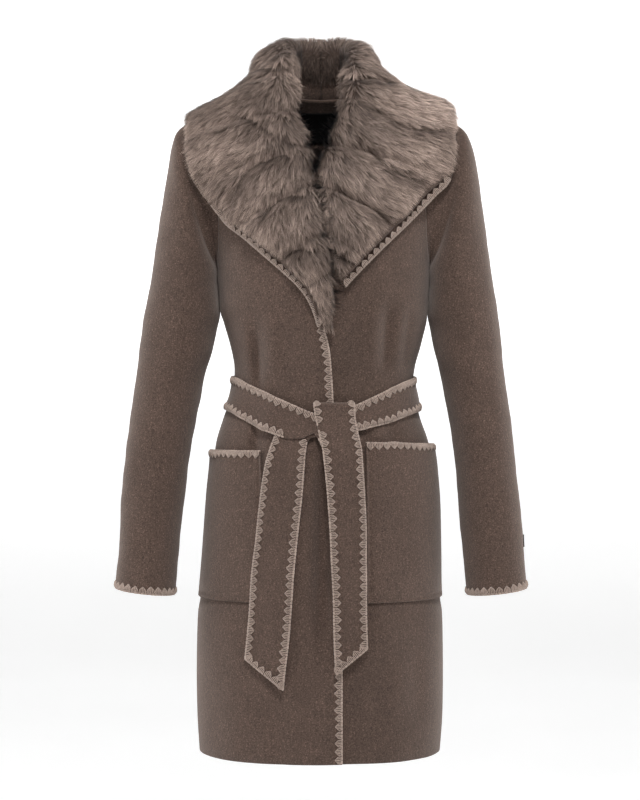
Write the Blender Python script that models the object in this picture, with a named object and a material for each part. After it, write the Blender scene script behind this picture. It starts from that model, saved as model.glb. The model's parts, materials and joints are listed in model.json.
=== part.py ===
"""Belted coat: the pieces a maker cuts and sews, at full size, filled out as when worn.

X runs to the coat's left side (the right of someone facing it), the front faces -Y, Z is up.
The origin lies midway between the two neck ends of the shoulder seams.
"""
import bpy
import numpy as np

# cloth and gaps
CLOTH = 0.0024            # thickness of the doubled wool
BELT_CLOTH = 0.0024
LABEL_CLOTH = 0.0010
LABEL_GAP = 0.0012
TAB_GAP = 0.0004
SEAM = 0.00032            # gap between pieces at a seam
ARM_GAP = 0.00050         # gap between a sleeve and the panels it is set into
# body
SHARPNESS = 2.2           # exponent of the rounded cross section
SHOULDER_SLOPE = 0.46
NECK_SIDE = 0.072         # half width of the neck at the shoulder seam
SHOULDER_ROUND = 0.100    # depth over which the shoulder turns from flat to upright
CENTRE_ROUND = 0.030
ARMPIT_Z = -0.245
HEM_Z = -0.8905
UNDERLAP_DIP = 0.0041     # how far the left front sinks to pass below the right one
# rows and columns of the panels
SHOULDER_ROWS = 5
ARMHOLE_ROWS = 11
FRONT_COLUMNS = 12
BACK_COLUMNS = 18
RING_POINTS = 2 * ARMHOLE_ROWS
SEAM_ARCH = 0.0016        # rise of the sleeve's cloth where it turns over the armhole seam
# pockets
POCKET_LIFT = 0.0016
POCKET_GAPE = 0.0032
# collar
LINES_PER_SECTION = 2     # lines across the collar for each row of its table
STAND_SPANS = 2
ROLL_SPANS = 5
FALL_SPANS = 5
LAP = 0.0075              # how far the lapel's sewing line lies in from its roll
FALL_CLEAR = 0.0030       # least height of the middle of the turned collar over the coat
FUR_GAP = 0.0009
FUR_CORNER_GAP = 0.0022
FOOT_LIFT = 0.0026        # height of the middle of the collar's foot over the neck edge

# level: z, half width, middle x, depth of front, depth of back
SECTIONS = np.array([
    (0.050, 0.1900, 0.0000, 0.042, 0.080),
    (0.000, 0.1920, 0.0000, 0.046, 0.086),
    (-0.040, 0.1910, 0.0000, 0.055, 0.096),
    (-0.090, 0.1840, 0.0000, 0.072, 0.104),
    (-0.145, 0.1660, 0.0005, 0.092, 0.107),
    (-0.200, 0.1515, 0.0020, 0.107, 0.107),
    (-0.245, 0.1440, 0.0030, 0.113, 0.106),
    (-0.285, 0.1412, 0.0035, 0.112, 0.102),
    (-0.302, 0.1398, 0.0038, 0.110, 0.099),
    (-0.316, 0.1368, 0.0055, 0.109, 0.096),
    (-0.348, 0.1283, 0.0062, 0.104, 0.091),
    (-0.380, 0.1213, 0.0047, 0.098, 0.087),
    (-0.397, 0.1205, 0.0034, 0.096, 0.087),
    (-0.413, 0.1233, 0.0036, 0.097, 0.088),
    (-0.445, 0.1326, 0.0010, 0.101, 0.094),
    (-0.478, 0.1432, 0.0018, 0.108, 0.104),
    (-0.510, 0.1484, 0.0032, 0.114, 0.112),
    (-0.550, 0.1542, 0.0027, 0.120, 0.120),
    (-0.620, 0.1576, 0.0010, 0.126, 0.127),
    (-0.680, 0.1606, -0.0010, 0.128, 0.130),
    (-0.710, 0.1648, -0.0013, 0.129, 0.131),
    (-0.790, 0.1660, -0.0016, 0.130, 0.131),
    (-0.840, 0.1652, -0.0015, 0.130, 0.131),
    (-0.900, 0.1612, -0.0018, 0.130, 0.131)])

# soft folds: side (-1 front, 1 back), x, top z, bottom z, lean of x per z, half width, height
FOLDS = np.array([
    (-1, -0.083, -0.300, -0.405, 0.10, 0.009, -0.0060),
    (-1, -0.101, -0.310, -0.405, 0.12, 0.009, 0.0035),
    (-1, -0.064, -0.290, -0.405, 0.05, 0.011, 0.0035),
    (-1, 0.086, -0.270, -0.395, -0.06, 0.010, -0.0040),
    (-1, 0.068, -0.280, -0.400, -0.04, 0.010, 0.0030),
    (-1, 0.106, -0.280, -0.400, -0.08, 0.009, 0.0030),
    (-1, -0.083, -0.445, -0.520, -0.06, 0.010, -0.0045),
    (-1, -0.062, -0.450, -0.620, -0.04, 0.014, 0.0030),
    (-1, 0.048, -0.450, -0.640, 0.05, 0.014, 0.0032),
    (-1, 0.092, -0.440, -0.485, 0.06, 0.010, -0.0035),
    (-1, -0.050, -0.620, -0.905, -0.03, 0.030, 0.0030),
    (-1, 0.075, -0.660, -0.905, 0.05, 0.030, 0.0035),
    (-1, -0.110, -0.690, -0.905, -0.05, 0.024, 0.0025),
    (1, -0.070, -0.280, -0.400, 0.10, 0.012, -0.0050),
    (1, 0.072, -0.290, -0.400, -0.10, 0.012, -0.0050),
    (1, 0.000, -0.300, -0.395, 0.00, 0.018, 0.0030),
    (1, -0.050, -0.445, -0.640, -0.10, 0.014, -0.0050),
    (1, 0.052, -0.445, -0.640, 0.10, 0.014, -0.0050),
    (1, 0.000, -0.450, -0.905, 0.00, 0.024, 0.0045),
    (1, -0.090, -0.560, -0.905, -0.06, 0.026, 0.0040),
    (1, 0.095, -0.580, -0.905, 0.06, 0.026, 0.0040)])

# edge of the armhole on each panel: z, reach from the middle on the front, on the back
ARMHOLE = np.array([
    (-0.0500, 0.1830, 0.1830), (-0.0600, 0.1765, 0.1780), (-0.0750, 0.1640, 0.1680),
    (-0.0950, 0.1515, 0.1570), (-0.1200, 0.1425, 0.1500), (-0.1500, 0.1385, 0.1465),
    (-0.1800, 0.1380, 0.1445), (-0.2100, 0.1390, 0.1430), (-0.2350, 0.1418, 0.1432),
    (-0.2450, 0.1440, 0.1440)])

# inner edge of each front, neck to hem: z, x on the right front, x on the left front
FRONT_EDGES = np.array([
    (0.000, -0.0720, 0.0720), (-0.006, -0.0650, 0.0650), (-0.015, -0.0560, 0.0550),
    (-0.027, -0.0490, 0.0460), (-0.040, -0.0450, 0.0400), (-0.065, -0.0425, 0.0330),
    (-0.094, -0.0362, 0.0235), (-0.122, -0.0315, 0.0150), (-0.142, -0.0270, 0.0090),
    (-0.162, -0.0222, -0.0090), (-0.182, -0.0190, -0.0240), (-0.215, -0.0135, -0.0350),
    (-0.240, -0.0070, -0.0400), (-0.270, -0.0020, -0.0450), (-0.300, 0.0010, -0.0480),
    (-0.328, 0.0035, -0.0500), (-0.345, 0.0082, -0.0510), (-0.366, 0.0117, -0.0520),
    (-0.402, 0.0143, -0.0520), (-0.450, 0.0165, -0.0520), (-0.600, 0.0215, -0.0500),
    (-0.7765, 0.0268, -0.0460), (-0.900, 0.0270, -0.0440)])

# back neckline: x, z
BACK_NECK = np.array([
    (0.000, -0.0070), (0.020, -0.0066), (0.040, -0.0052), (0.055, -0.0034),
    (0.066, -0.0012), (0.072, 0.0000)])

# rings of a sleeve: outer x, outer z, inner x, inner z, middle y, half depth, then outer x and
# inner x of the right sleeve
SLEEVE = np.array([
    (0.1970, -0.0630, 0.1492, -0.2485, -0.001, 0.0535, 0.1961, 0.1432),
    (0.2055, -0.0850, 0.1487, -0.2540, -0.002, 0.0580, 0.2023, 0.1426),
    (0.2113, -0.1132, 0.1481, -0.2610, -0.003, 0.0605, 0.2062, 0.1418),
    (0.2168, -0.1537, 0.1474, -0.2700, -0.004, 0.0615, 0.2135, 0.1409),
    (0.2234, -0.2010, 0.1464, -0.2840, -0.004, 0.0610, 0.2212, 0.1396),
    (0.2308, -0.2560, 0.1451, -0.3040, -0.004, 0.0595, 0.2286, 0.1376),
    (0.2383, -0.3080, 0.1480, -0.3300, -0.004, 0.0580, 0.2371, 0.1417),
    (0.2433, -0.3480, 0.1533, -0.3600, -0.005, 0.0560, 0.2423, 0.1485),
    (0.2473, -0.3860, 0.1617, -0.3970, -0.007, 0.0545, 0.2480, 0.1576),
    (0.2534, -0.4330, 0.1715, -0.4430, -0.010, 0.0530, 0.2544, 0.1667),
    (0.2585, -0.4800, 0.1776, -0.4910, -0.016, 0.0520, 0.2598, 0.1752),
    (0.2628, -0.5290, 0.1826, -0.5400, -0.024, 0.0510, 0.2645, 0.1815),
    (0.2665, -0.5770, 0.1860, -0.5880, -0.033, 0.0495, 0.2682, 0.1868),
    (0.2690, -0.6250, 0.1896, -0.6350, -0.042, 0.0485, 0.2705, 0.1902),
    (0.2728, -0.6690, 0.1932, -0.6780, -0.050, 0.0480, 0.2728, 0.1935)])

# collar sections from the centre back to the front end.
# roll x, y, z; roll radius; outer edge x, y, z; bulge of the fall; thickness of the fur.
# a roll y or edge y of 9 is worked out from the front below it
LEFT_COLLAR = np.array([
    (0.0000, 0.0600, 0.056, 0.0090, 0.0000, 0.1110, -0.100, 0.004, 0.018),
    (0.0270, 0.0530, 0.056, 0.0090, 0.0680, 0.1070, -0.098, 0.006, 0.018),
    (0.0430, 0.0320, 0.050, 0.0085, 0.1250, 0.0870, -0.086, 0.002, 0.0175),
    (0.0475, 0.0080, 0.041, 0.0080, 0.1660, 0.0450, -0.060, -0.003, 0.0095),
    (0.0465, -0.0140, 0.023, 0.0072, 0.1760, 0.0060, -0.037, 0.001, 0.0135),
    (0.0425, -0.0340, -0.006, 0.0062, 0.1790, -0.0220, -0.055, 0.006, 0.019),
    (0.0380, 9.0000, -0.037, 0.0055, 0.1780, -0.0440, -0.086, 0.006, 0.019),
    (0.0300, 9.0000, -0.065, 0.0050, 0.1710, -0.0600, -0.129, 0.005, 0.018),
    (0.0205, 9.0000, -0.094, 0.0045, 0.1460, -0.0660, -0.150, 0.005, 0.018),
    (0.0120, 9.0000, -0.122, 0.0040, 0.1120, 9.0000, -0.191, 0.004, 0.018),
    (0.0080, 9.0000, -0.150, 0.0036, 0.0900, 9.0000, -0.213, 0.003, 0.018),
    (0.0100, 9.0000, -0.182, 0.0034, 0.0730, 9.0000, -0.2300, 0.002, 0.017),
    (0.0132, 9.0000, -0.213, 0.0032, 0.0590, 9.0000, -0.2445, 0.001, 0.015),
    (0.0160, 9.0000, -0.240, 0.0032, 0.0440, 9.0000, -0.2600, 0.000, 0.012),
    (0.0190, 9.0000, -0.263, 0.0032, 0.0310, 9.0000, -0.2735, 0.000, 0.009)])
RIGHT_COLLAR = np.array([
    (0.0000, 0.0600, 0.056, 0.0090, 0.0000, 0.1110, -0.100, 0.004, 0.018),
    (-0.0270, 0.0530, 0.056, 0.0090, -0.0680, 0.1070, -0.098, 0.006, 0.018),
    (-0.0430, 0.0320, 0.054, 0.0085, -0.1250, 0.0870, -0.086, 0.007, 0.0185),
    (-0.0475, 0.0080, 0.044, 0.0080, -0.1660, 0.0450, -0.061, -0.002, 0.0085),
    (-0.0465, -0.0140, 0.025, 0.0072, -0.1775, 0.0060, -0.045, 0.002, 0.0110),
    (-0.0442, -0.0340, -0.006, 0.0062, -0.1800, -0.0220, -0.058, 0.006, 0.018),
    (-0.0425, 9.0000, -0.037, 0.0055, -0.1790, -0.0450, -0.088, 0.006, 0.018),
    (-0.0395, 9.0000, -0.065, 0.0050, -0.1700, -0.0600, -0.127, 0.005, 0.018),
    (-0.0335, 9.0000, -0.092, 0.0048, -0.1480, -0.0670, -0.160, 0.005, 0.018),
    (-0.0290, 9.0000, -0.120, 0.0046, -0.1270, 9.0000, -0.184, 0.004, 0.018),
    (-0.0230, 9.0000, -0.148, 0.0044, -0.0980, 9.0000, -0.211, 0.003, 0.018),
    (-0.0160, 9.0000, -0.182, 0.0042, -0.0700, 9.0000, -0.2360, 0.002, 0.018),
    (-0.0105, 9.0000, -0.215, 0.0040, -0.0460, 9.0000, -0.2575, 0.001, 0.017),
    (-0.0040, 9.0000, -0.240, 0.0038, -0.0300, 9.0000, -0.2730, 0.000, 0.015),
    (0.0010, 9.0000, -0.270, 0.0034, -0.0175, 9.0000, -0.2900, 0.000, 0.012),
    (0.0040, 9.0000, -0.300, 0.0030, -0.0095, 9.0000, -0.3080, 0.000, 0.009),
    (0.0065, 9.0000, -0.326, 0.0026, -0.0040, 9.0000, -0.3260, 0.000, 0.006)])

# foot of the collar at the neck for its first sections: x, z, side
NECK_FOOT = np.array([
    (0.0000, -0.0105, 1), (0.0190, -0.0100, 1), (0.0415, -0.0085, 1),
    (0.0640, -0.0055, 1), (0.0760, -0.0021, -1), (0.0620, -0.0180, -1)])

# where the fur starts on a section: section number, place (0 foot, 1 and 2 ends of the roll, 3 edge)
FUR_START = np.array([(0, 0.40), (3, 0.50), (4, 0.80), (5, 1.10), (6, 1.35), (7, 1.50), (30, 1.50)])
# grooves between the fur strips: section number on the left, on the right, depth share
FUR_GROOVES = np.array([
    (1.6, 1.6, 0.35), (3.1, 3.2, 0.42), (4.1, 4.5, 0.40), (5.3, 5.8, 0.50), (7.6, 7.5, 0.50),
    (9.7, 9.6, 0.50), (11.7, 11.6, 0.45), (30.0, 13.4, 0.40)])
FUR_GROOVE_WIDTH = 0.38
FUR_MARGIN = 0.006        # bare wool between the fur and the lapel's edge
FUR_MARGIN_RIGHT = 0.004
FUR_BACK_MARGIN = 0.001
FUR_TURN = 0.42           # share of the fur's width taken by the neck side and the roll

# hanging ends and knot, in order along the belt. Each row is one line across the belt:
# upper or left edge x, z, lower or right edge x, z, height of the belt's middle over the coat
TAIL_UNDER = np.array([
    (-0.0960, -0.7560, -0.0480, -0.7940, 0.0062), (-0.0905, -0.7050, -0.0405, -0.7200, 0.0062),
    (-0.0862, -0.6400, -0.0340, -0.6420, 0.0062), (-0.0790, -0.5800, -0.0280, -0.5800, 0.0062),
    (-0.0725, -0.5245, -0.0224, -0.5246, 0.0060), (-0.0640, -0.4860, -0.0200, -0.4870, 0.0054),
    (-0.0580, -0.4680, -0.0160, -0.4730, 0.0048), (-0.0450, -0.4530, -0.0050, -0.4690, 0.0048),
    (-0.0240, -0.4450, 0.0120, -0.4665, 0.0048), (0.0020, -0.4400, 0.0300, -0.4640, 0.0048),
    (0.0240, -0.4345, 0.0420, -0.4620, 0.0048), (0.0450, -0.4285, 0.0510, -0.4610, 0.0046),
    (0.0600, -0.4215, 0.0640, -0.4570, 0.0034)])
# waist loop: turn around the body from the front middle, upper z, lower z, height
WAIST = np.array([
    (0.60, -0.4135, -0.4525, 0.0024), (0.85, -0.4030, -0.4450, 0.0027),
    (1.15, -0.3950, -0.4385, 0.0027), (1.45, -0.3910, -0.4355, 0.0027),
    (1.75, -0.3890, -0.4340, 0.0027), (2.10, -0.3870, -0.4320, 0.0027),
    (2.50, -0.3855, -0.4305, 0.0027), (2.90, -0.3850, -0.4300, 0.0027),
    (3.3832, -0.3850, -0.4300, 0.0027), (3.7832, -0.3855, -0.4305, 0.0027),
    (4.1832, -0.3870, -0.4320, 0.0027), (4.5332, -0.3890, -0.4335, 0.0027),
    (4.8332, -0.3900, -0.4340, 0.0027), (5.1332, -0.3930, -0.4370, 0.0027),
    (5.4332, -0.4030, -0.4460, 0.0024)])
OVER_PASS = np.array([
    (-0.0700, -0.4120, -0.0820, -0.4560, 0.0040), (-0.0560, -0.4190, -0.0680, -0.4630, 0.0074),
    (-0.0330, -0.4300, -0.0520, -0.4695, 0.0079), (-0.0060, -0.4415, -0.0400, -0.4725, 0.0079),
    (0.0140, -0.4480, -0.0210, -0.4740, 0.0079), (0.0310, -0.4560, -0.0060, -0.4745, 0.0079),
    (0.0390, -0.4670, -0.0010, -0.4750, 0.0079)])
TURN_UNDER = (0.0400, 0.0000, -0.4760, 0.0079, 0.0017)
BEHIND = np.array([(0.0400, -0.4580, 0.0000, -0.4580, 0.0017),
                   (0.0405, -0.4420, -0.0030, -0.4420, 0.0017)])
TURN_OVER = (0.0410, -0.0090, -0.4310, 0.0017, 0.0113)
TAIL_OVER = np.array([
    (0.0415, -0.4450, -0.0070, -0.4440, 0.0113), (0.0460, -0.4700, -0.0010, -0.4680, 0.0108),
    (0.0490, -0.4880, 0.0030, -0.4865, 0.0107), (0.0505, -0.5060, 0.0050, -0.5050, 0.0090),
    (0.0530, -0.5350, 0.0080, -0.5340, 0.0070),
    (0.0560, -0.6000, 0.0120, -0.6000, 0.0062), (0.0570, -0.6820, 0.0155, -0.6820, 0.0062),
    (0.0580, -0.7350, 0.0175, -0.7500, 0.0062), (0.0582, -0.7420, 0.0195, -0.7740, 0.0062)])
BELT_COLUMNS = 4

COLLAR_PLACES = np.concatenate([np.linspace(0, 1, STAND_SPANS + 1)[:-1],
                                1 + np.linspace(0, 1, ROLL_SPANS + 1)[:-1],
                                2 + np.linspace(0, 1, FALL_SPANS + 1)])

WOOL = (88, 74, 67)
WOOL_DARK = (80, 67, 61)
FUR = (134, 119, 111)
BLACK = (26, 24, 24)


def follow(xs, ys, q):
    """Shape-keeping cubic through the points (xs, ys), read at q; xs run upward."""
    xs = np.asarray(xs, float)
    ys = np.asarray(ys, float)
    flat = ys.ndim == 1
    if flat:
        ys = ys[:, None]
    q = np.clip(np.asarray(q, float), xs[0], xs[-1])
    step = np.diff(xs)[:, None]
    rise = np.diff(ys, axis=0) / step
    slope = np.zeros_like(ys)
    both = rise[:-1] * rise[1:]
    total = np.where(np.abs(rise[:-1] + rise[1:]) < 1e-12, 1.0, rise[:-1] + rise[1:])
    slope[1:-1] = np.where(both > 0, 2.0 * both / total, 0.0)
    slope[0] = rise[0]
    slope[-1] = rise[-1]
    i = np.clip(np.searchsorted(xs, q, side="right") - 1, 0, len(xs) - 2)
    h = (xs[i + 1] - xs[i])[..., None]
    t = (q - xs[i])[..., None] / h
    out = ((1 + 2 * t) * (1 - t) ** 2 * ys[i] + t * (1 - t) ** 2 * h * slope[i]
           + t * t * (3 - 2 * t) * ys[i + 1] + t * t * (t - 1) * h * slope[i + 1])
    return out[..., 0] if flat else out


def down(table, column, z):
    """Column of a table whose first column is z, highest first."""
    return follow(-table[:, 0], table[:, column], -np.asarray(z, float))


def ramp(value, start, end):
    t = np.clip((value - start) / (end - start), 0.0, 1.0)
    return t * t * (3 - 2 * t)


def shoulder_height(x):
    """Height of the shoulder line over x."""
    return SHOULDER_SLOPE * (np.hypot(NECK_SIDE, CENTRE_ROUND) - np.hypot(x, CENTRE_ROUND))


def folds(side, x, z):
    """Outward push of the soft folds."""
    push = np.zeros(np.broadcast(x, z).shape)
    for fold_side, x0, top, low, lean, width, height in FOLDS:
        if fold_side != side:
            continue
        middle = x0 + lean * (0.5 * (top + low) - z)
        length = top - low
        fade = ramp(-z, -top, -top + 0.35 * length)
        if low > HEM_Z:
            fade = fade * (1 - ramp(-z, -low - 0.35 * length, -low))
        push = push + height * fade * np.exp(-((x - middle) / width) ** 2)
    return push


def turn_at(side, x, z):
    """Turn around the section, 0 in the middle and a quarter turn at the side seam."""
    share = np.clip((x - down(SECTIONS, 2, z)) / down(SECTIONS, 1, z), -1.0, 1.0)
    return np.sign(share) * np.arcsin(np.abs(share) ** (SHARPNESS / 2))


def dip(x, z):
    """How far the left front lies below the right front."""
    return UNDERLAP_DIP * (1 - ramp(x, 0.038, 0.085))


def body(side, turn, z, left=0.0):
    """Outer face of the coat; left is 1 where the left front's own face is wanted."""
    turn, z = np.broadcast_arrays(np.asarray(turn, float), np.asarray(z, float))
    sine, cosine = np.sin(turn), np.abs(np.cos(turn))
    x = down(SECTIONS, 2, z) + down(SECTIONS, 1, z) * np.sign(sine) * np.abs(sine) ** (2 / SHARPNESS)
    deep = down(SECTIONS, 3 if side < 0 else 4, z)
    share = np.clip((shoulder_height(x) - z) / SHOULDER_ROUND, 0.0, 1.0)
    y = deep * cosine ** (2 / SHARPNESS) * np.sqrt(np.clip(2 * share - share ** 2, 0, 1))
    y = y + folds(side, x, z) * np.minimum(1.0, 1.6 * cosine) - left * dip(x, z)
    return np.stack([x, side * y, z], -1)


def on_body(side, x, z, lift=0.0, left=0.0):
    """Point over the coat's outer face at x, z, moved out by lift."""
    x, z, lift = np.broadcast_arrays(np.asarray(x, float), np.asarray(z, float),
                                     np.asarray(lift, float))
    return lifted(side, turn_at(side, x, z), z, lift, left)


def lifted(side, turn, z, lift, left=0.0):
    """Point of the coat's face at a turn and height, moved out by lift."""
    turn, z, lift = np.broadcast_arrays(np.asarray(turn, float), np.asarray(z, float),
                                        np.asarray(lift, float))
    e = 1e-4
    turned = body(side, turn + e, z, left) - body(side, turn - e, z, left)
    raised = body(side, turn, z + e, left) - body(side, turn, z - e, left)
    out = unit(np.cross(turned, raised)) * (-1.0 if side > 0 else 1.0)
    return body(side, turn, z, left) + out * lift[..., None]


def unit(v):
    return v / np.maximum(np.linalg.norm(v, axis=-1, keepdims=True), 1e-12)


def slopes(grid, axis, loop=False):
    """Differences along one axis of a grid of points, one-sided at its ends."""
    g = np.moveaxis(grid, axis, 0)
    if loop:
        d = np.roll(g, -1, 0) - np.roll(g, 1, 0)
    else:
        d = np.empty_like(g)
        d[1:-1] = g[2:] - g[:-2]
        if len(g) > 2:
            d[0] = -3 * g[0] + 4 * g[1] - g[2]
            d[-1] = 3 * g[-1] - 4 * g[-2] + g[-3]
        else:
            d[0] = d[-1] = g[1] - g[0]
    return np.moveaxis(d, 0, axis)


def faces_out(grid, loop=False):
    """Unit vectors square to a grid of points (rows, columns)."""
    return unit(np.cross(slopes(grid, 0), slopes(grid, 1, loop)))


def material(name, rgb, rough):
    slot = bpy.data.materials.new(name)
    slot.use_nodes = True
    linear = [(c / 255 / 12.92 if c / 255 < 0.04045 else ((c / 255 + 0.055) / 1.055) ** 2.4)
              for c in rgb]
    shader = slot.node_tree.nodes["Principled BSDF"]
    shader.inputs["Base Color"].default_value = (*linear, 1.0)
    shader.inputs["Roughness"].default_value = rough
    slot.diffuse_color = (*linear, 1.0)
    return slot


def sheet(name, outer, inner, slot, loop=False):
    """One closed piece between two grids of points; loop joins its last column to the first."""
    rows, columns = outer.shape[:2]
    count = rows * columns
    points = np.concatenate([outer.reshape(-1, 3), inner.reshape(-1, 3)])
    faces = []
    spans = columns if loop else columns - 1
    for i in range(rows - 1):
        for j in range(spans):
            k = (j + 1) % columns
            a, b = i * columns + j, i * columns + k
            c, d = (i + 1) * columns + k, (i + 1) * columns + j
            one = np.linalg.norm(points[a] - points[c])
            if one > np.linalg.norm(points[b] - points[d]):
                a, b, c, d = b, c, d, a
            faces += [(a, b, c), (a, c, d)]
            faces += [(count + c, count + b, count + a), (count + d, count + c, count + a)]
    rim = [(i, i + 1) for i in range(columns - 1)] + ([(columns - 1, 0)] if loop else [])
    low = (rows - 1) * columns
    border = [(b, a) for a, b in rim] + [(low + a, low + b) for a, b in rim]
    if not loop:
        for i in range(rows - 1):
            a, d = i * columns, (i + 1) * columns
            border += [(a, d), (d + columns - 1, a + columns - 1)]
    for a, b in border:
        faces += [(a, b, count + b), (a, count + b, count + a)]
    flat = points[np.array(faces)]
    if np.einsum("ij,ij->i", flat[:, 0], np.cross(flat[:, 1], flat[:, 2])).sum() < 0:
        faces = [face[::-1] for face in faces]
    mesh = bpy.data.meshes.new(name)
    mesh.from_pydata([tuple(p) for p in points], [], faces)
    mesh.materials.append(slot)
    mesh.shade_smooth()
    piece = bpy.data.objects.new(name, mesh)
    bpy.context.scene.collection.objects.link(piece)
    return piece


def level_z(row, x, z_top):
    """Height of a panel row over x; z_top is the least drop below the shoulder line."""
    if row <= SHOULDER_ROWS:
        first = np.arccos(1 - np.clip(z_top / SHOULDER_ROUND, 0, 1))
        angle = first + (np.pi / 2 - first) * row / SHOULDER_ROWS
        return shoulder_height(x) - SHOULDER_ROUND * (1 - np.cos(angle))
    if row <= ARMHOLE_ROWS:
        share = (row - SHOULDER_ROWS) / (ARMHOLE_ROWS - SHOULDER_ROWS)
        return (1 - share) * (shoulder_height(x) - SHOULDER_ROUND) + share * ARMPIT_Z
    return LOWER_ROWS[row - ARMHOLE_ROWS - 1] + 0.0 * x


LOWER_ROWS = np.array([-0.272, -0.300, -0.328, -0.354, -0.380, -0.404, -0.428, -0.452, -0.478,
                       -0.506, -0.545, -0.590, -0.640, -0.690, -0.740, -0.790, -0.840, HEM_Z])
PANEL_ROWS = ARMHOLE_ROWS + 1 + len(LOWER_ROWS)


def armhole_edge(side, row, mirror):
    """x and z where a row meets the armhole or the side seam."""
    x = 0.150 * mirror
    for _ in range(40):
        z = level_z(row, x, 0.0)
        if row < ARMHOLE_ROWS:
            reach = down(ARMHOLE, 1 if side < 0 else 2, z)
        else:
            reach = down(SECTIONS, 1, z)
        x = float(down(SECTIONS, 2, z) + mirror * reach)
    return x, float(level_z(row, x, 0.0))


def front_panel(mirror):
    """Grid of one front from its armhole and side seam to its front edge; mirror 1 is the left."""
    left = 1.0 if mirror > 0 else 0.0
    grid = np.zeros((PANEL_ROWS, FRONT_COLUMNS, 3))
    for row in range(PANEL_ROWS):
        x_out, z_out = armhole_edge(-1, row, mirror)
        x_in = 0.0
        for _ in range(60):
            z_in = float(level_z(row, x_in, 0.0))
            x_in = 0.5 * x_in + 0.5 * float(down(FRONT_EDGES, 2 if mirror > 0 else 1, z_in))
        a = float(turn_at(-1, x_out, z_out))
        if row >= ARMHOLE_ROWS:
            a = mirror * (np.pi / 2)
        b = float(turn_at(-1, x_in, z_in))
        share = np.linspace(0, 1, FRONT_COLUMNS)
        turn = a + (b - a) * share
        z = z_out + (z_in - z_out) * share
        for _ in range(30):
            x = body(-1, turn, z)[..., 0]
            z = level_z(row, x, 0.0)
        grid[row] = body(-1, turn, z, left)
    return grid


def back_drop(x):
    """Drop of the back panel's top edge below the shoulder line."""
    z = follow(BACK_NECK[:, 0], BACK_NECK[:, 1], np.abs(x))
    return np.where(np.abs(x) < NECK_SIDE, np.maximum(shoulder_height(x) - z, 0.0), 0.0)


def back_panel():
    grid = np.zeros((PANEL_ROWS, BACK_COLUMNS + 1, 3))
    for row in range(PANEL_ROWS):
        x_out, z_out = armhole_edge(1, row, 1)
        x_other, z_other = armhole_edge(1, row, -1)
        a = float(turn_at(1, x_out, z_out))
        b = float(turn_at(1, x_other, z_other))
        if row >= ARMHOLE_ROWS:
            a, b = np.pi / 2, -np.pi / 2
        turn = np.linspace(a, b, BACK_COLUMNS + 1)
        z = np.full(BACK_COLUMNS + 1, z_out)
        for _ in range(30):
            x = body(1, turn, z)[..., 0]
            z = level_z(row, x, back_drop(x))
        grid[row] = body(1, turn, z)
    return grid


def panel_faces(grid, side, ends):
    """Outer and inner face of a panel, with its shoulder and side seams kept apart."""
    out = faces_out(grid)
    if (out[PANEL_ROWS // 2, 3:-3, 1] * side).mean() < 0:
        out = -out
    x = grid[0, :, 0]
    seam = np.abs(x) >= NECK_SIDE - 0.004
    slope = SHOULDER_SLOPE * x / np.hypot(x, CENTRE_ROUND)
    up = unit(np.stack([slope, np.zeros_like(x), np.ones_like(x)], -1))
    out[0] = np.where(seam[:, None], up, out[0])
    for column in ends:
        out[ARMHOLE_ROWS:, column, 1] = 0.0
    out = unit(out)
    outer = grid.copy()
    half = 0.5 * SEAM
    outer[0, :, 1] = np.where(seam, side * np.maximum(side * outer[0, :, 1], half), outer[0, :, 1])
    for column in ends:
        low = side * outer[ARMHOLE_ROWS:, column, 1]
        outer[ARMHOLE_ROWS:, column, 1] = side * np.maximum(low, half)
    return outer, outer - CLOTH * out


def off_edge(faces, column, step):
    """Armhole edge of a panel's two faces, moved off the panel by a seam's gap, and its direction."""
    outer, inner = faces
    edge = outer[:ARMHOLE_ROWS + 1, column]
    thick = unit(edge - inner[:ARMHOLE_ROWS + 1, column])
    run = slopes(edge[:, None], 0)[:, 0]
    away = unit(np.cross(run, thick))
    if np.dot(away[5], edge[5] - outer[5, column + step]) < 0:
        away = -away
    return edge + ARM_GAP * away, inner[:ARMHOLE_ROWS + 1, column] + ARM_GAP * away, away


def ring(front, back):
    """Joins a front and a back armhole edge into one ring from the shoulder round the front."""
    top = 0.5 * (front[0] + back[0])
    low = 0.5 * (front[-1] + back[-1])
    return np.concatenate([[top], front[1:-1], [low], back[1:-1][::-1]])


def sleeve(mirror, front, back):
    """Grid faces of one sleeve; its first ring follows the armhole just off both panels."""
    edges = zip(off_edge(front, 0, 1), off_edge(back, 0 if mirror > 0 else -1,
                                                1 if mirror > 0 else -1))
    first, first_inner, away = [ring(f, b) for f, b in edges]
    angle = 2 * np.pi * np.arange(RING_POINTS) / RING_POINTS
    grid = []
    for out_x, out_z, in_x, in_z, y, deep, right_out, right_in in SLEEVE:
        if mirror < 0:
            out_x, in_x = right_out, right_in
        middle = np.array([0.5 * (out_x + in_x) * mirror, y, 0.5 * (out_z + in_z)])
        reach = np.array([0.5 * (out_x - in_x) * mirror, 0.0, 0.5 * (out_z - in_z)])
        grid.append(middle + np.cos(angle)[:, None] * reach
                    - np.sin(angle)[:, None] * np.array([0, deep, 0]))
    away = unit(away)
    onward = unit(grid[1] - grid[0])
    between = 0.5 * (first + grid[0]) + SEAM_ARCH * (away - onward)
    grid = np.array([first, between] + grid)
    out = faces_out(grid, True)
    if (out[8] * (grid[8] - grid[8].mean(0))).sum() < 0:
        out = -out
    inner = grid - CLOTH * out
    inner[0] = first_inner
    return grid, inner


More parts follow.
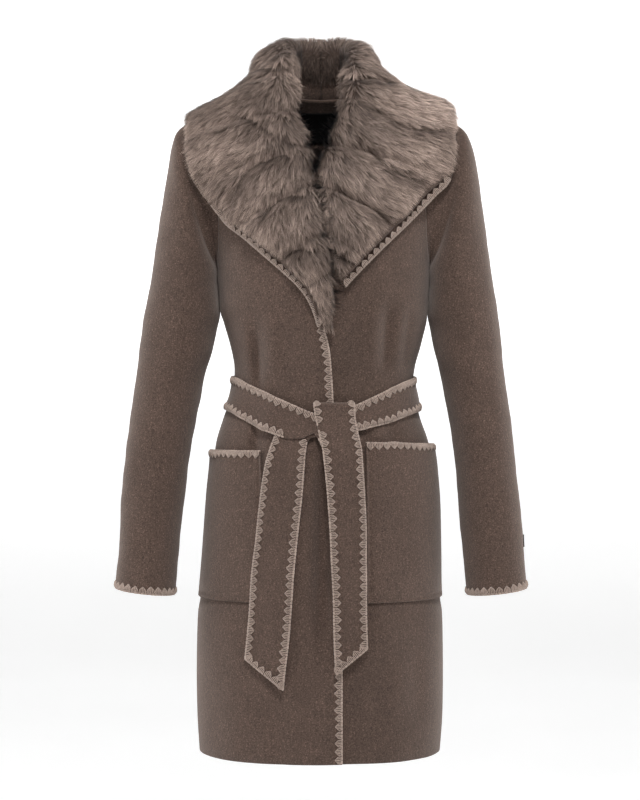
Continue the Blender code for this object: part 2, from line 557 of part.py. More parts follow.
def collar_rows(table, mirror, place):
    """Foot, roll middle, edge and other values of the collar at each place along it."""
    left = 1.0 if mirror > 0 else 0.0
    roll, radius, edge = table[:, 0:3].copy(), table[:, 3], table[:, 4:7].copy()
    foot = np.zeros_like(roll)
    for i in range(len(table)):
        if edge[i, 1] > 1:
            edge[i] = on_body(-1, edge[i, 0], edge[i, 2], 0.0030, left)
        if roll[i, 1] > 1:
            lift = 0.5 * CLOTH + SEAM + radius[i]
            roll[i] = on_body(-1, roll[i, 0], roll[i, 2], lift, left)
        if i < len(NECK_FOOT):
            x, z, side = NECK_FOOT[i]
            foot[i] = on_body(side, x * mirror, z, FOOT_LIFT, left if side < 0 else 0.0)
        else:
            along = unit((edge[i] - roll[i])[[0, 2]])
            lap = min(LAP, 0.45 * np.linalg.norm(edge[i] - roll[i]))
            foot[i] = on_body(-1, roll[i, 0] + lap * along[0], roll[i, 2] + lap * along[1],
                              0.5 * CLOTH + SEAM, left)
    every = np.concatenate([foot, roll, edge, table[:, [3, 7, 8]]], 1)
    values = follow(np.arange(len(table)), every, place)
    return (values[:, 0:3], values[:, 3:6], values[:, 6:9], values[:, 9], values[:, 10],
            values[:, 11])


def inside(point, lift):
    """Whether points lie within the coat's body grown by lift."""
    x, y, z = point[..., 0], point[..., 1], point[..., 2]
    share = (x - down(SECTIONS, 2, z)) / (down(SECTIONS, 1, z) + lift)
    drop = np.clip((shoulder_height(x) + lift - z) / SHOULDER_ROUND, 0.0, 1.0)
    round_off = np.sqrt(np.clip(2 * drop - drop ** 2, 0, 1))
    across = np.clip(1 - np.abs(share) ** SHARPNESS, 0, 1) ** (1 / SHARPNESS)
    front = (down(SECTIONS, 3, z) * round_off * across + folds(-1, x, z) + lift) * (y < 0)
    back = (down(SECTIONS, 4, z) * round_off * across + folds(1, x, z) + lift) * (y >= 0)
    return (np.abs(y) < front + back) & (np.abs(share) < 1) & (drop > 0)


def laid_over(point, over):
    """A point of the collar pushed along over until it clears the coat's body."""
    if not inside(point, FALL_CLEAR):
        return point
    low, high = 0.0, 0.06
    for _ in range(24):
        middle = 0.5 * (low + high)
        if inside(point + middle * over, FALL_CLEAR):
            low = middle
        else:
            high = middle
    return point + high * over


def collar_line(foot, roll, edge, radius, bulge, where):
    """Points of one collar section at places 0 foot, 1 to 2 round the roll, 3 edge."""
    along = unit(edge - roll)
    arm = foot - roll
    rise = unit(arm - np.dot(arm, along) * along)
    over = -rise
    p = np.array([np.dot(arm, along), np.dot(arm, over)])
    length = np.linalg.norm(edge - roll)
    near = np.hypot(*p)
    start = np.arctan2(p[1], p[0]) - np.arccos(min(1.0, radius / near))
    end = -2 * np.pi + np.arccos(min(1.0, radius / length))
    begin = radius * np.array([np.cos(start), np.sin(start)])
    finish = radius * np.array([np.cos(end), np.sin(end)])
    points = []
    for t in where:
        if t < 1:
            q = p + (begin - p) * t
        elif t < 2:
            angle = start + (end - start) * (t - 1)
            q = radius * np.array([np.cos(angle), np.sin(angle)])
        else:
            s = t - 2
            q = finish + (np.array([length, 0.0]) - finish) * s
            q = q + np.array([0.0, bulge * 6.75 * s * (1 - s) ** 2])
        point = roll + q[0] * along + q[1] * over
        points.append(laid_over(point, over) if t > 2 else point)
    return np.array(points), length


def collar_faces(table, mirror):
    """Wool collar with its lapel: outer (turned) face and inner face."""
    place = np.linspace(0, len(table) - 1, LINES_PER_SECTION * (len(table) - 1) + 1)
    foot, roll, edge, radius, bulge, _ = collar_rows(table, mirror, place)
    grid = np.array([collar_line(foot[i], roll[i], edge[i], radius[i], bulge[i], COLLAR_PLACES)[0]
                     for i in range(len(place))])
    grid[0, :, 0] = mirror * 0.5 * SEAM
    out = faces_out(grid)
    if np.dot(out[2, -3], grid[2, -3] - grid[2, 0]) < 0:
        out = -out
    out[0, :, 0] = 0.0
    out = unit(out)
    return grid + 0.5 * CLOTH * out, grid - 0.5 * CLOTH * out


def fur_faces(table, mirror, collar):
    """Fur upper collar in puffed strips over the turned face of the wool collar."""
    last = len(table) - 1
    place = np.linspace(0, last, LINES_PER_SECTION * last + 1)
    start = follow(FUR_START[:, 0], FUR_START[:, 1], place)
    _, roll, edge, _, _, thick = collar_rows(table, mirror, place)
    turned_face, under_face = collar
    upward = unit(turned_face - under_face)
    lapel = FUR_MARGIN if mirror > 0 else FUR_MARGIN_RIGHT
    margin = FUR_BACK_MARGIN + (lapel - FUR_BACK_MARGIN) * ramp(place, 6.0, 8.0)
    puff = np.ones(len(place))
    for g, depth in zip(FUR_GROOVES[:, 0 if mirror > 0 else 1], FUR_GROOVES[:, 2]):
        puff = puff * (1 - depth * np.exp(-((place - g) / FUR_GROOVE_WIDTH) ** 2))
    tail = 1 - 0.55 * ramp(place, last - 1.2, last)
    share = np.concatenate([np.linspace(0, FUR_TURN, 9)[:-1], np.linspace(FUR_TURN, 1, 6)])
    # thinner inside the neck, full over the fall, rounded off at both ends
    profile = 0.62 + 0.38 * ramp(share, 0.25, 0.55)
    profile = profile * np.sqrt(np.clip(1 - (np.abs(share - 0.5) / 0.5) ** 6, 0.05, 1))
    base = np.zeros((len(place), len(share), 3))
    out = np.zeros_like(base)
    gap = np.zeros(base.shape[:2])
    for i in range(len(place)):
        finish = 3 - margin[i] / max(np.linalg.norm(edge[i] - roll[i]), 0.02)
        where = np.where(share < FUR_TURN, start[i] + (2 - start[i]) * share / FUR_TURN,
                         2 + (finish - 2) * (share - FUR_TURN) / (1 - FUR_TURN))
        for k in range(3):
            base[i, :, k] = np.interp(where, COLLAR_PLACES, turned_face[i, :, k])
            out[i, :, k] = np.interp(where, COLLAR_PLACES, upward[i, :, k])
        # the neck corner twists, so the fur stands off a little more there
        corner = np.exp(-((place[i] - 3.2) / 1.3) ** 2)
        gap[i] = FUR_GAP + FUR_CORNER_GAP * corner * (1 - ramp(where, 1.0, 1.6))
    out = unit(out)
    rise = (thick * puff * tail)[:, None] * profile[None, :]
    lobe = np.exp(-((place - 4.35) / 0.55) ** 2)[:, None] * ramp(share, 0.62, 0.92)[None, :]
    rise = rise * (1 + (0.85 if mirror > 0 else 0.35) * lobe)
    base = base + gap[..., None] * out
    return base + rise[..., None] * out, base


def pocket(mirror):
    """Patch pocket moved out from the front, standing off a little along its open top."""
    inner_top, inner_low = (0.058, 0.0600) if mirror > 0 else (-0.0765, -0.0770)
    rows, columns = 8, 8
    v = np.linspace(0, 1, rows)[:, None]
    u = np.linspace(0, 1, columns)[None, :]
    top = -0.4775 - 0.004 * u if mirror > 0 else -0.4885 + 0.0 * u
    z = top + (-0.683 - top) * v
    x_in = inner_top + (inner_low - inner_top) * v
    start = turn_at(-1, x_in + 0.0 * z, z)
    end = mirror * 1.47
    turn = start + (end - start) * u
    gape = POCKET_GAPE * (1 - ramp(v, 0.0, 0.35)) * (0.4 + 0.6 * u)
    lift = POCKET_LIFT + gape + 0.0 * turn
    left = 1.0 if mirror > 0 else 0.0
    inner = lifted(-1, turn, z, lift, left)
    outer = lifted(-1, turn, z, lift + CLOTH, left)
    return outer, inner


def turned(row, low):
    """Half circle of cross lines; row is edge x, other edge x, z, height before and after."""
    x_a, x_b, z, before, after = row
    radius = 0.5 * abs(before - after)
    middle = 0.5 * (before + after)
    rows = []
    for angle in np.linspace(0, np.pi, 6):
        z_now = z - radius * np.sin(angle) * (1 if low else -1)
        lift = middle + 0.5 * (before - after) * np.cos(angle)
        rows.append((x_a, z_now, x_b, z_now, lift))
    return np.array(rows)


def resample(table, count):
    """More cross lines through the rows of a table, evenly numbered."""
    return follow(np.arange(len(table)), table, np.linspace(0, len(table) - 1, count))


def belt():
    """The whole band: hanging end, under the knot, round the waist, over and through, other end."""
    across = np.linspace(0, 1, BELT_COLUMNS)

    def front(table):
        rows = []
        for x_a, z_a, x_b, z_b, lift in table:
            x = x_a + (x_b - x_a) * across
            z = z_a + (z_b - z_a) * across
            rows.append(on_body(-1, x, z, lift))
        return np.array(rows)

    waist = []
    places = np.linspace(WAIST[0, 0], WAIST[-1, 0], 54)
    values = follow(WAIST[:, 0], WAIST[:, 1:], places)
    for place, (high, low, lift) in zip(places, values):
        z = high + (low - high) * across
        if place < np.pi / 2:
            waist.append(lifted(-1, place + 0 * z, z, lift))
        elif place < 3 * np.pi / 2:
            waist.append(lifted(1, np.pi - place + 0 * z, z, lift))
        else:
            waist.append(lifted(-1, place - 2 * np.pi + 0 * z, z, lift))
    over = np.concatenate([resample(OVER_PASS, 9), turned(TURN_UNDER, True), BEHIND,
                           turned(TURN_OVER, False), resample(TAIL_OVER, 14)])
    line = np.concatenate([front(resample(TAIL_UNDER, 19)), np.array(waist), front(over)])
    out = faces_out(line)
    if out[30, :, :].dot(line[30].mean(0) * np.array([1, 1, 0])).mean() < 0:
        out = -out
    return line + 0.5 * BELT_CLOTH * out, line - 0.5 * BELT_CLOTH * out


def label():
    """Bare label lying on the inner face of the back, below the neck."""
    rows, columns = 5, 6
    z = np.linspace(-0.0215, -0.0615, rows)[:, None]
    x = np.linspace(-0.0280, 0.0320, columns)[None, :]
    outer = on_body(1, x, z, -(CLOTH + LABEL_GAP))
    inner = on_body(1, x, z, -(CLOTH + LABEL_GAP + LABEL_CLOTH))
    return outer, inner


def sleeve_tab(outer):
    """Small flat tab on the outer side of the left sleeve, made from its rings."""
    a, b = outer[14], outer[15]
    grid = np.array([[p + (q - p) * s for p, q in ((a[k], b[k]) for k in (-1, 0, 1))]
                     for s in (0.56, 0.70, 0.84)])
    middle = grid[:, 1:2]
    grid = middle + (grid - middle) * 0.34
    away = unit(np.array([1.0, 0.0, 0.13]))
    near = grid + TAB_GAP * away
    return near + LABEL_CLOTH * away, near


def main():
    for old in list(bpy.data.objects):
        bpy.data.objects.remove(old, do_unlink=True)
    wool = material("wool", WOOL, 0.9)
    wool_front = material("wool_front", WOOL, 0.9)
    wool_left = material("wool_left", WOOL_DARK, 0.9)
    right_front = panel_faces(front_panel(-1), -1, [0])
    left_front = panel_faces(front_panel(1), -1, [0])
    back = panel_faces(back_panel(), 1, [0, -1])
    sheet("back", *back, wool)
    sheet("right_front", *right_front, wool_front)
    sheet("left_front", *left_front, wool_left)
    right_sleeve = sleeve(-1, right_front, back)
    left_sleeve = sleeve(1, left_front, back)
    sheet("right_sleeve", *right_sleeve, material("wool_right_sleeve", WOOL, 0.9), True)
    sheet("left_sleeve", *left_sleeve, material("wool_left_sleeve", WOOL, 0.9), True)
    right_collar = collar_faces(RIGHT_COLLAR, -1)
    left_collar = collar_faces(LEFT_COLLAR, 1)
    sheet("right_collar", *right_collar, material("wool_right_collar", WOOL, 0.9))
    sheet("left_collar", *left_collar, material("wool_left_collar", WOOL, 0.9))
    sheet("right_fur_collar", *fur_faces(RIGHT_COLLAR, -1, right_collar),
          material("fur_right", FUR, 0.85))
    sheet("left_fur_collar", *fur_faces(LEFT_COLLAR, 1, left_collar),
          material("fur_left", FUR, 0.85))
    sheet("right_pocket", *pocket(-1), material("wool_right_pocket", WOOL, 0.9))
    sheet("left_pocket", *pocket(1), material("wool_left_pocket", WOOL, 0.9))
    sheet("belt", *belt(), material("wool_belt", WOOL, 0.9))
    sheet("neck_label", *label(), material("label_black", BLACK, 0.6))
    sheet("sleeve_tab", *sleeve_tab(left_sleeve[0]), material("tab_black", BLACK, 0.6))


if __name__ == "__main__":
    main()
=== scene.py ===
"""Looks of the belted coat: brushed wool cloth, a fur shawl collar and a light yarn edging.

The garment is worked out from the same named sizes and short tables as its solids, with finer rows,
softened cloth edges, small unevenness, fur and sewing added. X runs to the coat's left side, the
front faces -Y, Z is up and the origin lies between the neck ends of the shoulder seams.
"""
import math

import bpy
import json
import numpy as np
from bpy.props import FloatProperty, FloatVectorProperty, IntProperty, PointerProperty
from bpy.types import Operator, Panel, PropertyGroup
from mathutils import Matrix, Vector

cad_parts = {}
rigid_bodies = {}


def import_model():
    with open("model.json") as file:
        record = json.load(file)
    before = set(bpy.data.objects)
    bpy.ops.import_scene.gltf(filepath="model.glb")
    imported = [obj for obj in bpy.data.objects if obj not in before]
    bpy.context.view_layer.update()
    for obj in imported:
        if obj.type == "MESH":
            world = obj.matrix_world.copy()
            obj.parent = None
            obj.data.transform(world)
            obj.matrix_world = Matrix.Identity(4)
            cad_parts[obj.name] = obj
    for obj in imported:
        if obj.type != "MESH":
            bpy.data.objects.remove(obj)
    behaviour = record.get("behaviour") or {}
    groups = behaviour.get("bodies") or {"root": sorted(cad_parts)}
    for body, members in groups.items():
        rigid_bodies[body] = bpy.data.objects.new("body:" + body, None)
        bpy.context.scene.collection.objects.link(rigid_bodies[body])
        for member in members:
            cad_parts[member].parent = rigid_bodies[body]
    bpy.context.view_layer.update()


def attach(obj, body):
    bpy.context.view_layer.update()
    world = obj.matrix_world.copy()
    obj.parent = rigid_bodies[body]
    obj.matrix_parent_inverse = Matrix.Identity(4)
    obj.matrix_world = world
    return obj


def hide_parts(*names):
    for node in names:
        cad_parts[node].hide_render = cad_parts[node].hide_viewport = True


bl_info = {
    "name": "Belted coat",
    "version": (1, 0, 0),
    "blender": (4, 5, 0),
    "location": "3D View > Sidebar > Coat",
    "description": "Builds a belted wool coat with a fur collar and yarn edging",
    "category": "Add Mesh",
}

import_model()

# lengths are in metres, and mirror is 1 for the coat's left side and -1 for its right side
SIDES = (("right", -1), ("left", 1))
# cloth and gaps
CLOTH = 0.0024
BELT_CLOTH = 0.0024
LABEL_CLOTH = 0.0010
LABEL_GAP = 0.0012
TAB_GAP = 0.0004
SEAM = 0.00032
SEWN_GAP = 0.00002
ARM_GAP = 0.00050
# body
SHARPNESS = 2.2
SHOULDER_SLOPE = 0.46
NECK_SIDE = 0.072
SHOULDER_ROUND = 0.100
CENTRE_ROUND = 0.030
ARMPIT_Z = -0.245
HEM_Z = -0.8905
UNDERLAP_DIP = 0.0041
SHOULDER_ROWS = 5
ARMHOLE_ROWS = 11
SEAM_ARCH = 0.0016
# fullness of the sleeve's inner side just under the arm: height, level, reach in z and in turn
ARM_FULL = 0.0060
ARM_FULL_Z = -0.240
ARM_FULL_REACH = 0.021
ARM_FULL_TURN = 0.12
# pockets: x at the inner top and foot, z of the top and its fall toward the side
POCKETS = {-1: (-0.0765, -0.0770, -0.4885, 0.0), 1: (0.058, 0.0600, -0.4775, 0.004)}
POCKET_FOOT_Z = -0.683
POCKET_SIDE_TURN = 1.47
POCKET_LIFT = 0.0016
POCKET_GAPE = 0.0032
# sinking of a pocket along its sewn edges: depth, distance from the edge, reach
SINK = 0.0013
SINK_AT = 0.0030
SINK_REACH = 0.0022
# label and tab: first and last z, and x of the label
LABEL_Z = (-0.0215, -0.0615)
LABEL_X = (-0.0280, 0.0320)
TAB_Z = (-0.6030, -0.6165)
# collar
LAP = 0.0075
FALL_CLEAR = 0.0030
FUR_GAP = 0.0009
FUR_CORNER_GAP = 0.0022
FOOT_LIFT = 0.0026
EDGE_LIFT = 0.0030
MOST_PUSH = 0.06
LAPEL_FOOT_Z = -0.313
EDGING_BEGINS = {-1: 8.2, 1: 7.0}
# fur: least height of its skin, most drawing in along the lapel's edge, least hair, hair below the
# neck, steepest lie of a hair in its height, and the section where its back piece ends
LEAST_SKIN = 0.0015
DRAWN_IN = 0.0046
LEAST_HAIR = 0.0035
NECK_HAIR = 0.017
HAIR_LIE = 0.30
HAIR_SPLIT = 5.0
# grooves: reach below and above them of their cut and of their painted shadow line, reach of the soft
# painted shade
GROOVE_CUT = (0.0085, 0.0030)
GROOVE_SHADE = (0.0052, 0.0018)
GROOVE_WIDE = 0.0160
# finer rows and columns used for the looks
PANEL_FINE = 4
FRONT_COLUMNS = 64
BACK_COLUMNS = 92
SLEEVE_ROWS = 84
COLLAR_FINE = 7
BELT_FINE = 4
BELT_COLUMNS = 12
# stage: y and radius of the backdrop's bend, place of the camera, level of the coat's middle
BEND_Y = 3.6
BEND = 1.6
EYE_X = -0.00135
EYE_Z = -0.421
COAT_MIDDLE_Z = -0.42

# The tables hold whole numbers, in tenths of a millimetre where they are divided by TENTHS.
TENTHS = 10000
# level: z, half width, middle x, depth of front, depth of back
SECTIONS = np.array([
    (500, 1900, 0, 420, 800), (0, 1920, 0, 460, 860), (-400, 1910, 0, 550, 960),
    (-900, 1840, 0, 720, 1040), (-1450, 1660, 5, 920, 1070), (-2000, 1515, 20, 1070, 1070),
    (-2450, 1440, 30, 1130, 1060), (-2850, 1412, 35, 1120, 1020), (-3020, 1398, 38, 1100, 990),
    (-3160, 1368, 55, 1090, 960), (-3480, 1283, 62, 1040, 910), (-3800, 1213, 47, 980, 870),
    (-3970, 1205, 34, 960, 870), (-4130, 1233, 36, 970, 880), (-4450, 1326, 10, 1010, 940),
    (-4780, 1432, 18, 1080, 1040), (-5100, 1484, 32, 1140, 1120), (-5500, 1542, 27, 1200, 1200),
    (-6200, 1576, 10, 1260, 1270), (-6800, 1606, -10, 1280, 1300), (-7100, 1648, -13, 1290, 1310),
    (-7900, 1660, -16, 1300, 1310), (-8400, 1652, -15, 1300, 1310), (-9000, 1612, -18, 1300, 1310)
]) / TENTHS

# soft folds: side (-1 front, 1 back); x, top z and bottom z in mm; lean of x per z in hundredths;
# half width and height in tenths of a mm
FOLD_UNITS = [1, 1000, 1000, 1000, 100, 10000, 10000]
FOLDS = np.array([
    (-1, -83, -300, -405, 10, 90, -60), (-1, -101, -310, -405, 12, 90, 35),
    (-1, -64, -290, -405, 5, 110, 35), (-1, 86, -270, -395, -6, 100, -40),
    (-1, 68, -280, -400, -4, 100, 30), (-1, 106, -280, -400, -8, 90, 30),
    (-1, -83, -445, -520, -6, 100, -45), (-1, -62, -450, -620, -4, 140, 30),
    (-1, 48, -450, -640, 5, 140, 32), (-1, 92, -440, -485, 6, 100, -35),
    (-1, -50, -620, -905, -3, 300, 30), (-1, 75, -660, -905, 5, 300, 35),
    (-1, -110, -690, -905, -5, 240, 25), (1, -70, -280, -400, 10, 120, -50),
    (1, 72, -290, -400, -10, 120, -50), (1, 0, -300, -395, 0, 180, 30),
    (1, -50, -445, -640, -10, 140, -50), (1, 52, -445, -640, 10, 140, -50),
    (1, 0, -450, -905, 0, 240, 45), (1, -90, -560, -905, -6, 260, 40), (1, 95, -580, -905, 6, 260, 40)
]) / FOLD_UNITS

# sharper folds of the cloth alone, not passed on to what is laid over it; the same columns
CLOTH_FOLDS = np.array([
    (-1, -83, -325, -425, 4, 60, -65), (-1, -86, -438, -500, -5, 60, -45),
    (-1, 3, -452, -770, -1, 135, -190), (-1, -30, -462, -560, 2, 90, -25),
    (-1, 85, -290, -395, -5, 65, -50), (-1, 112, -290, -395, -10, 65, -40),
    (-1, 62, -455, -520, 5, 60, -30), (-1, -118, -290, -400, 25, 70, -25),
    (-1, -56, -700, -905, 3, 160, -30), (-1, 76, -715, -905, -5, 180, -30),
    (-1, 125, -700, -880, 5, 140, -25), (1, -72, -290, -420, 8, 70, -40),
    (1, 74, -290, -420, -8, 70, -40), (1, 30, -440, -700, -5, 120, -40),
    (1, -32, -440, -720, 5, 120, -40), (1, -100, -600, -905, 5, 180, -35),
    (1, 95, -640, -905, -5, 180, -35)
]) / FOLD_UNITS

# edge of the armhole on each panel: z, reach from the middle on the front, on the back
ARMHOLE = np.array([
    (-500, 1830, 1830), (-600, 1765, 1780), (-750, 1640, 1680), (-950, 1515, 1570), (-1200, 1425, 1500),
    (-1500, 1385, 1465), (-1800, 1380, 1445), (-2100, 1390, 1430), (-2350, 1418, 1432),
    (-2450, 1440, 1440)
]) / TENTHS

# inner edge of each front, neck to hem: z, x on the right front, x on the left front
FRONT_EDGES = np.array([
    (0, -720, 720), (-60, -650, 650), (-150, -560, 550), (-270, -490, 460), (-400, -450, 400),
    (-650, -425, 330), (-940, -362, 235), (-1220, -315, 150), (-1420, -270, 90), (-1620, -222, -90),
    (-1820, -190, -240), (-2150, -135, -350), (-2400, -70, -400), (-2700, -20, -450), (-3000, 10, -480),
    (-3280, 35, -500), (-3450, 82, -510), (-3660, 117, -520), (-4020, 143, -520), (-4500, 165, -520),
    (-6000, 215, -500), (-7765, 268, -460), (-9000, 270, -440)
]) / TENTHS

# back neckline: x, z
BACK_NECK = np.array([
    (0, -70), (200, -66), (400, -52), (550, -34), (660, -12), (720, 0)
]) / TENTHS

LOWER_ROWS = np.array([-0.272, -0.300, -0.328, -0.354, -0.380, -0.404, -0.428, -0.452, -0.478,
                       -0.506, -0.545, -0.590, -0.640, -0.690, -0.740, -0.790, -0.840, HEM_Z])
PANEL_ROWS = ARMHOLE_ROWS + 1 + len(LOWER_ROWS)

# rings of a sleeve: outer x, outer z, inner x, inner z, middle y, half depth, then outer x and
# inner x of the right sleeve
SLEEVE = np.array([
    (1970, -630, 1492, -2485, -10, 535, 1961, 1432), (2055, -850, 1481, -2540, -20, 580, 2023, 1420),
    (2113, -1132, 1470, -2610, -30, 605, 2062, 1406), (2168, -1537, 1461, -2700, -40, 615, 2135, 1396),
    (2234, -2010, 1446, -2840, -40, 610, 2212, 1377), (2308, -2560, 1434, -3040, -40, 595, 2286, 1359),
    (2383, -3080, 1480, -3300, -40, 580, 2371, 1417), (2433, -3480, 1533, -3600, -50, 560, 2423, 1485),
    (2473, -3860, 1617, -3970, -70, 545, 2480, 1576), (2534, -4330, 1715, -4430, -100, 530, 2544, 1667),
    (2585, -4800, 1776, -4910, -160, 520, 2598, 1752), (2628, -5290, 1826, -5400, -240, 510, 2645, 1815),
    (2665, -5770, 1860, -5880, -330, 495, 2682, 1868), (2690, -6250, 1896, -6350, -420, 485, 2705, 1902),
    (2728, -6690, 1932, -6780, -500, 480, 2728, 1935)
]) / TENTHS

# soft drapes of a sleeve: side (1 left, -1 right, 0 both); z in the middle in mm; turn from the
# outer edge through the front and slope of z over the turn in hundredths; width in z in mm; length
# in turn in hundredths; height of the ridge (below 0 a trough) in tenths of a mm
SLEEVE_DRAPES = np.array([
    (0, -300, 36, 30, 14, 12, 16), (0, -330, 38, 34, 12, 11, -20), (0, -365, 36, 30, 16, 13, 18),
    (0, -405, 34, 26, 14, 11, -16), (1, -445, 33, 24, 18, 12, 14), (-1, -430, 32, 22, 18, 12, 14),
    (0, -480, 30, 20, 15, 10, -10), (0, -350, 66, -28, 16, 13, 18), (0, -390, 66, -28, 14, 12, -18),
    (0, -430, 68, -25, 17, 12, 16), (1, -550, 28, 18, 22, 10, 10), (-1, -560, 26, 16, 22, 10, 10)
]) / [1, 1000, 100, 100, 1000, 100, 10000]

# collar sections from the centre back to the front end: roll x, y, z; roll radius; outer edge x, y,
# z; bulge of the fall; thickness of the fur. A y of ON is worked out from the front below it.
ON = 90000
LEFT_COLLAR = np.array([
    (0, 600, 560, 90, 0, 1110, -1000, 40, 180), (270, 530, 560, 90, 680, 1070, -980, 60, 180),
    (430, 320, 500, 85, 1250, 870, -860, 20, 175), (475, 80, 410, 80, 1660, 450, -600, -30, 95),
    (465, -140, 230, 72, 1760, 60, -370, 10, 135), (425, -340, -60, 62, 1790, -220, -550, 60, 190),
    (380, ON, -370, 55, 1780, -440, -860, 60, 190), (300, ON, -650, 50, 1710, -600, -1290, 50, 180),
    (205, ON, -940, 45, 1490, -655, -1535, 50, 180), (120, ON, -1220, 40, 1120, ON, -1910, 40, 180),
    (80, ON, -1500, 36, 900, ON, -2130, 30, 180), (100, ON, -1820, 34, 730, ON, -2300, 20, 170),
    (132, ON, -2130, 32, 590, ON, -2445, 10, 150), (160, ON, -2400, 32, 440, ON, -2600, 0, 120),
    (190, ON, -2630, 32, 310, ON, -2735, 0, 90)
]) / TENTHS
RIGHT_COLLAR = np.array([
    (0, 600, 560, 90, 0, 1110, -1000, 40, 180), (-270, 530, 560, 90, -680, 1070, -980, 60, 180),
    (-430, 320, 540, 85, -1250, 870, -860, 70, 185), (-475, 80, 440, 80, -1660, 450, -610, -20, 85),
    (-465, -140, 250, 72, -1775, 60, -450, 20, 110), (-442, -340, -60, 62, -1800, -220, -580, 60, 180),
    (-425, ON, -370, 55, -1790, -450, -880, 60, 180), (-395, ON, -650, 50, -1700, -600, -1270, 50, 180),
    (-335, ON, -920, 48, -1480, -670, -1600, 50, 180), (-290, ON, -1200, 46, -1270, ON, -1840, 40, 180),
    (-230, ON, -1480, 44, -980, ON, -2110, 30, 180), (-160, ON, -1820, 42, -700, ON, -2360, 20, 180),
    (-105, ON, -2150, 40, -460, ON, -2575, 10, 170), (-40, ON, -2400, 38, -300, ON, -2730, 0, 150),
    (10, ON, -2700, 34, -175, ON, -2900, 0, 120), (40, ON, -3000, 30, -95, ON, -3080, 0, 90),
    (65, ON, -3260, 26, -40, ON, -3260, 0, 60)
]) / TENTHS

COLLARS = {-1: RIGHT_COLLAR, 1: LEFT_COLLAR}

# foot of the collar at the neck for its first sections: x, z, side (-1 front, 1 back)
NECK_FOOT = np.array([
    (0, -105, 1), (190, -100, 1), (415, -85, 1), (640, -55, 1), (760, -21, -1), (620, -180, -1)
]) / [10000, 10000, 1]

# where the fur starts on a section: section number, place (0 foot, 1 and 2 ends of the roll, 3 edge)
FUR_START = np.array([
    (0, 0.4), (3, 0.5), (4, 0.8), (5, 1.1), (6, 1.35), (7, 1.5), (30, 1.5)])
# margin the fur leaves along the lapel and along the back, share of its width up to the roll's end
FUR_MARGIN = {-1: 0.004, 1: 0.006}
FUR_BACK_MARGIN = 0.001
FUR_TURN = 0.42
# fuller lobe at the collar's outer corner: section, reach, gain of height
LOBE_AT = 4.35
LOBE_REACH = 0.55
LOBE_GAIN = {-1: 0.35, 1: 0.85}
# grooves between the fur strips: side (1 left, -1 right), section at the roll, section at the
# edge, half width in sections, depth share
FUR_GROOVES = np.array([
    (1, 1.6, 1.6, 0.2, 0.45), (1, 3.1, 3.1, 0.2, 0.45), (1, 3.9, 4.5, 0.18, 0.6), (1, 5.6, 5.5, 0.2, 0.6),
    (1, 7.9, 7.2, 0.24, 0.6), (1, 9.8, 9.4, 0.24, 0.6), (1, 11.7, 11.7, 0.22, 0.5),
    (-1, 1.6, 1.6, 0.2, 0.45), (-1, 3.2, 3.2, 0.2, 0.45), (-1, 4.6, 4.4, 0.2, 0.4),
    (-1, 6.2, 5.6, 0.22, 0.5), (-1, 8, 7.4, 0.24, 0.5), (-1, 9.9, 9.5, 0.24, 0.5),
    (-1, 11.8, 11.6, 0.24, 0.5), (-1, 13.5, 13.4, 0.2, 0.45)])
# hair over the back, along the collar: section, turn of the hair from across the collar towards
# its front end, on the left and on the right collar
HAIR_TURN = np.array([
    (0, -0.45, -0.45), (1.5, 0.05, 0.05), (4, 0.15, 0.3), (7, 0.2, 0.6), (9, 0.12, 0.72), (16, 0.5, 1.1)])
# way of the hair seen from the front: x and z in mm, degrees downward from the coat's left side
LEFT_WAYS = np.array([
    (38, 48, 60), (30, 30, 150), (53, 42, 25), (70, 26, 20), (103, -16, 9), (150, -35, 4), (60, -12, 25),
    (32, -5, 140), (90, -60, 30), (140, -82, 24), (165, -110, 34), (58, -108, 45), (102, -132, 36),
    (132, -155, 36), (30, -142, 58), (50, -180, 46), (76, -198, 42), (18, -172, 70), (10, -206, 76),
    (30, -250, 50), (16, -272, 60), (8, -140, 112), (4, -165, 112), (6, -190, 112), (8, -212, 114),
    (12, -240, 108)
]) / [1000, 1000, 1]
RIGHT_WAYS = np.array([
    (-40, 42, 60), (-75, 36, 165), (-94, 6, 146), (-120, -24, 144), (-150, -40, 140), (-40, 6, 66),
    (-74, -4, 100), (-66, -40, 110), (-128, -50, 142), (-170, -60, 135), (-40, -60, 55), (-112, -92, 152),
    (-55, -104, 104), (-26, -90, 75), (-142, -108, 138), (-94, -132, 132), (-60, -140, 108),
    (-114, -152, 124), (-22, -140, 88), (-85, -186, 112), (-30, -172, 84), (-16, -190, 74),
    (-50, -215, 98), (-12, -225, 68), (-14, -250, 62), (2, -282, 68), (10, -315, 80), (-8, -150, 66),
    (-2, -175, 62), (3, -205, 60)
]) / [1000, 1000, 1]
# grooves between the puffed strips seen from the front: lines of x, z in mm from the roll outward
LEFT_GROOVES = (
    ((20, 12), (40, 12), (62, 11), (82, 8), (96, 3)),
    ((44, -14), (60, -26), (76, -40), (96, -50), (116, -58), (136, -60), (154, -59), (172, -66)),
    ((36, -54), (52, -82), (66, -96), (78, -107), (90, -114), (109, -122), (125, -127), (141, -143)),
    ((14, -128), (32, -148), (48, -158), (64, -167), (82, -181), (94, -196)),
    ((10, -212), (26, -228), (37, -238), (50, -247)))
RIGHT_GROOVES = (
    ((-44, 34), (-56, 27), (-72, 28), (-92, 29)),
    ((-28, -84), (-46, -76), (-68, -62), (-86, -48), (-106, -38)),
    ((-22, -94), (-50, -96), (-76, -106), (-100, -122), (-114, -150)),
    ((-6, -148), (-26, -149), (-46, -152), (-62, -162), (-76, -182)),
    ((4, -222), (-18, -221), (-38, -222), (-54, -236)))

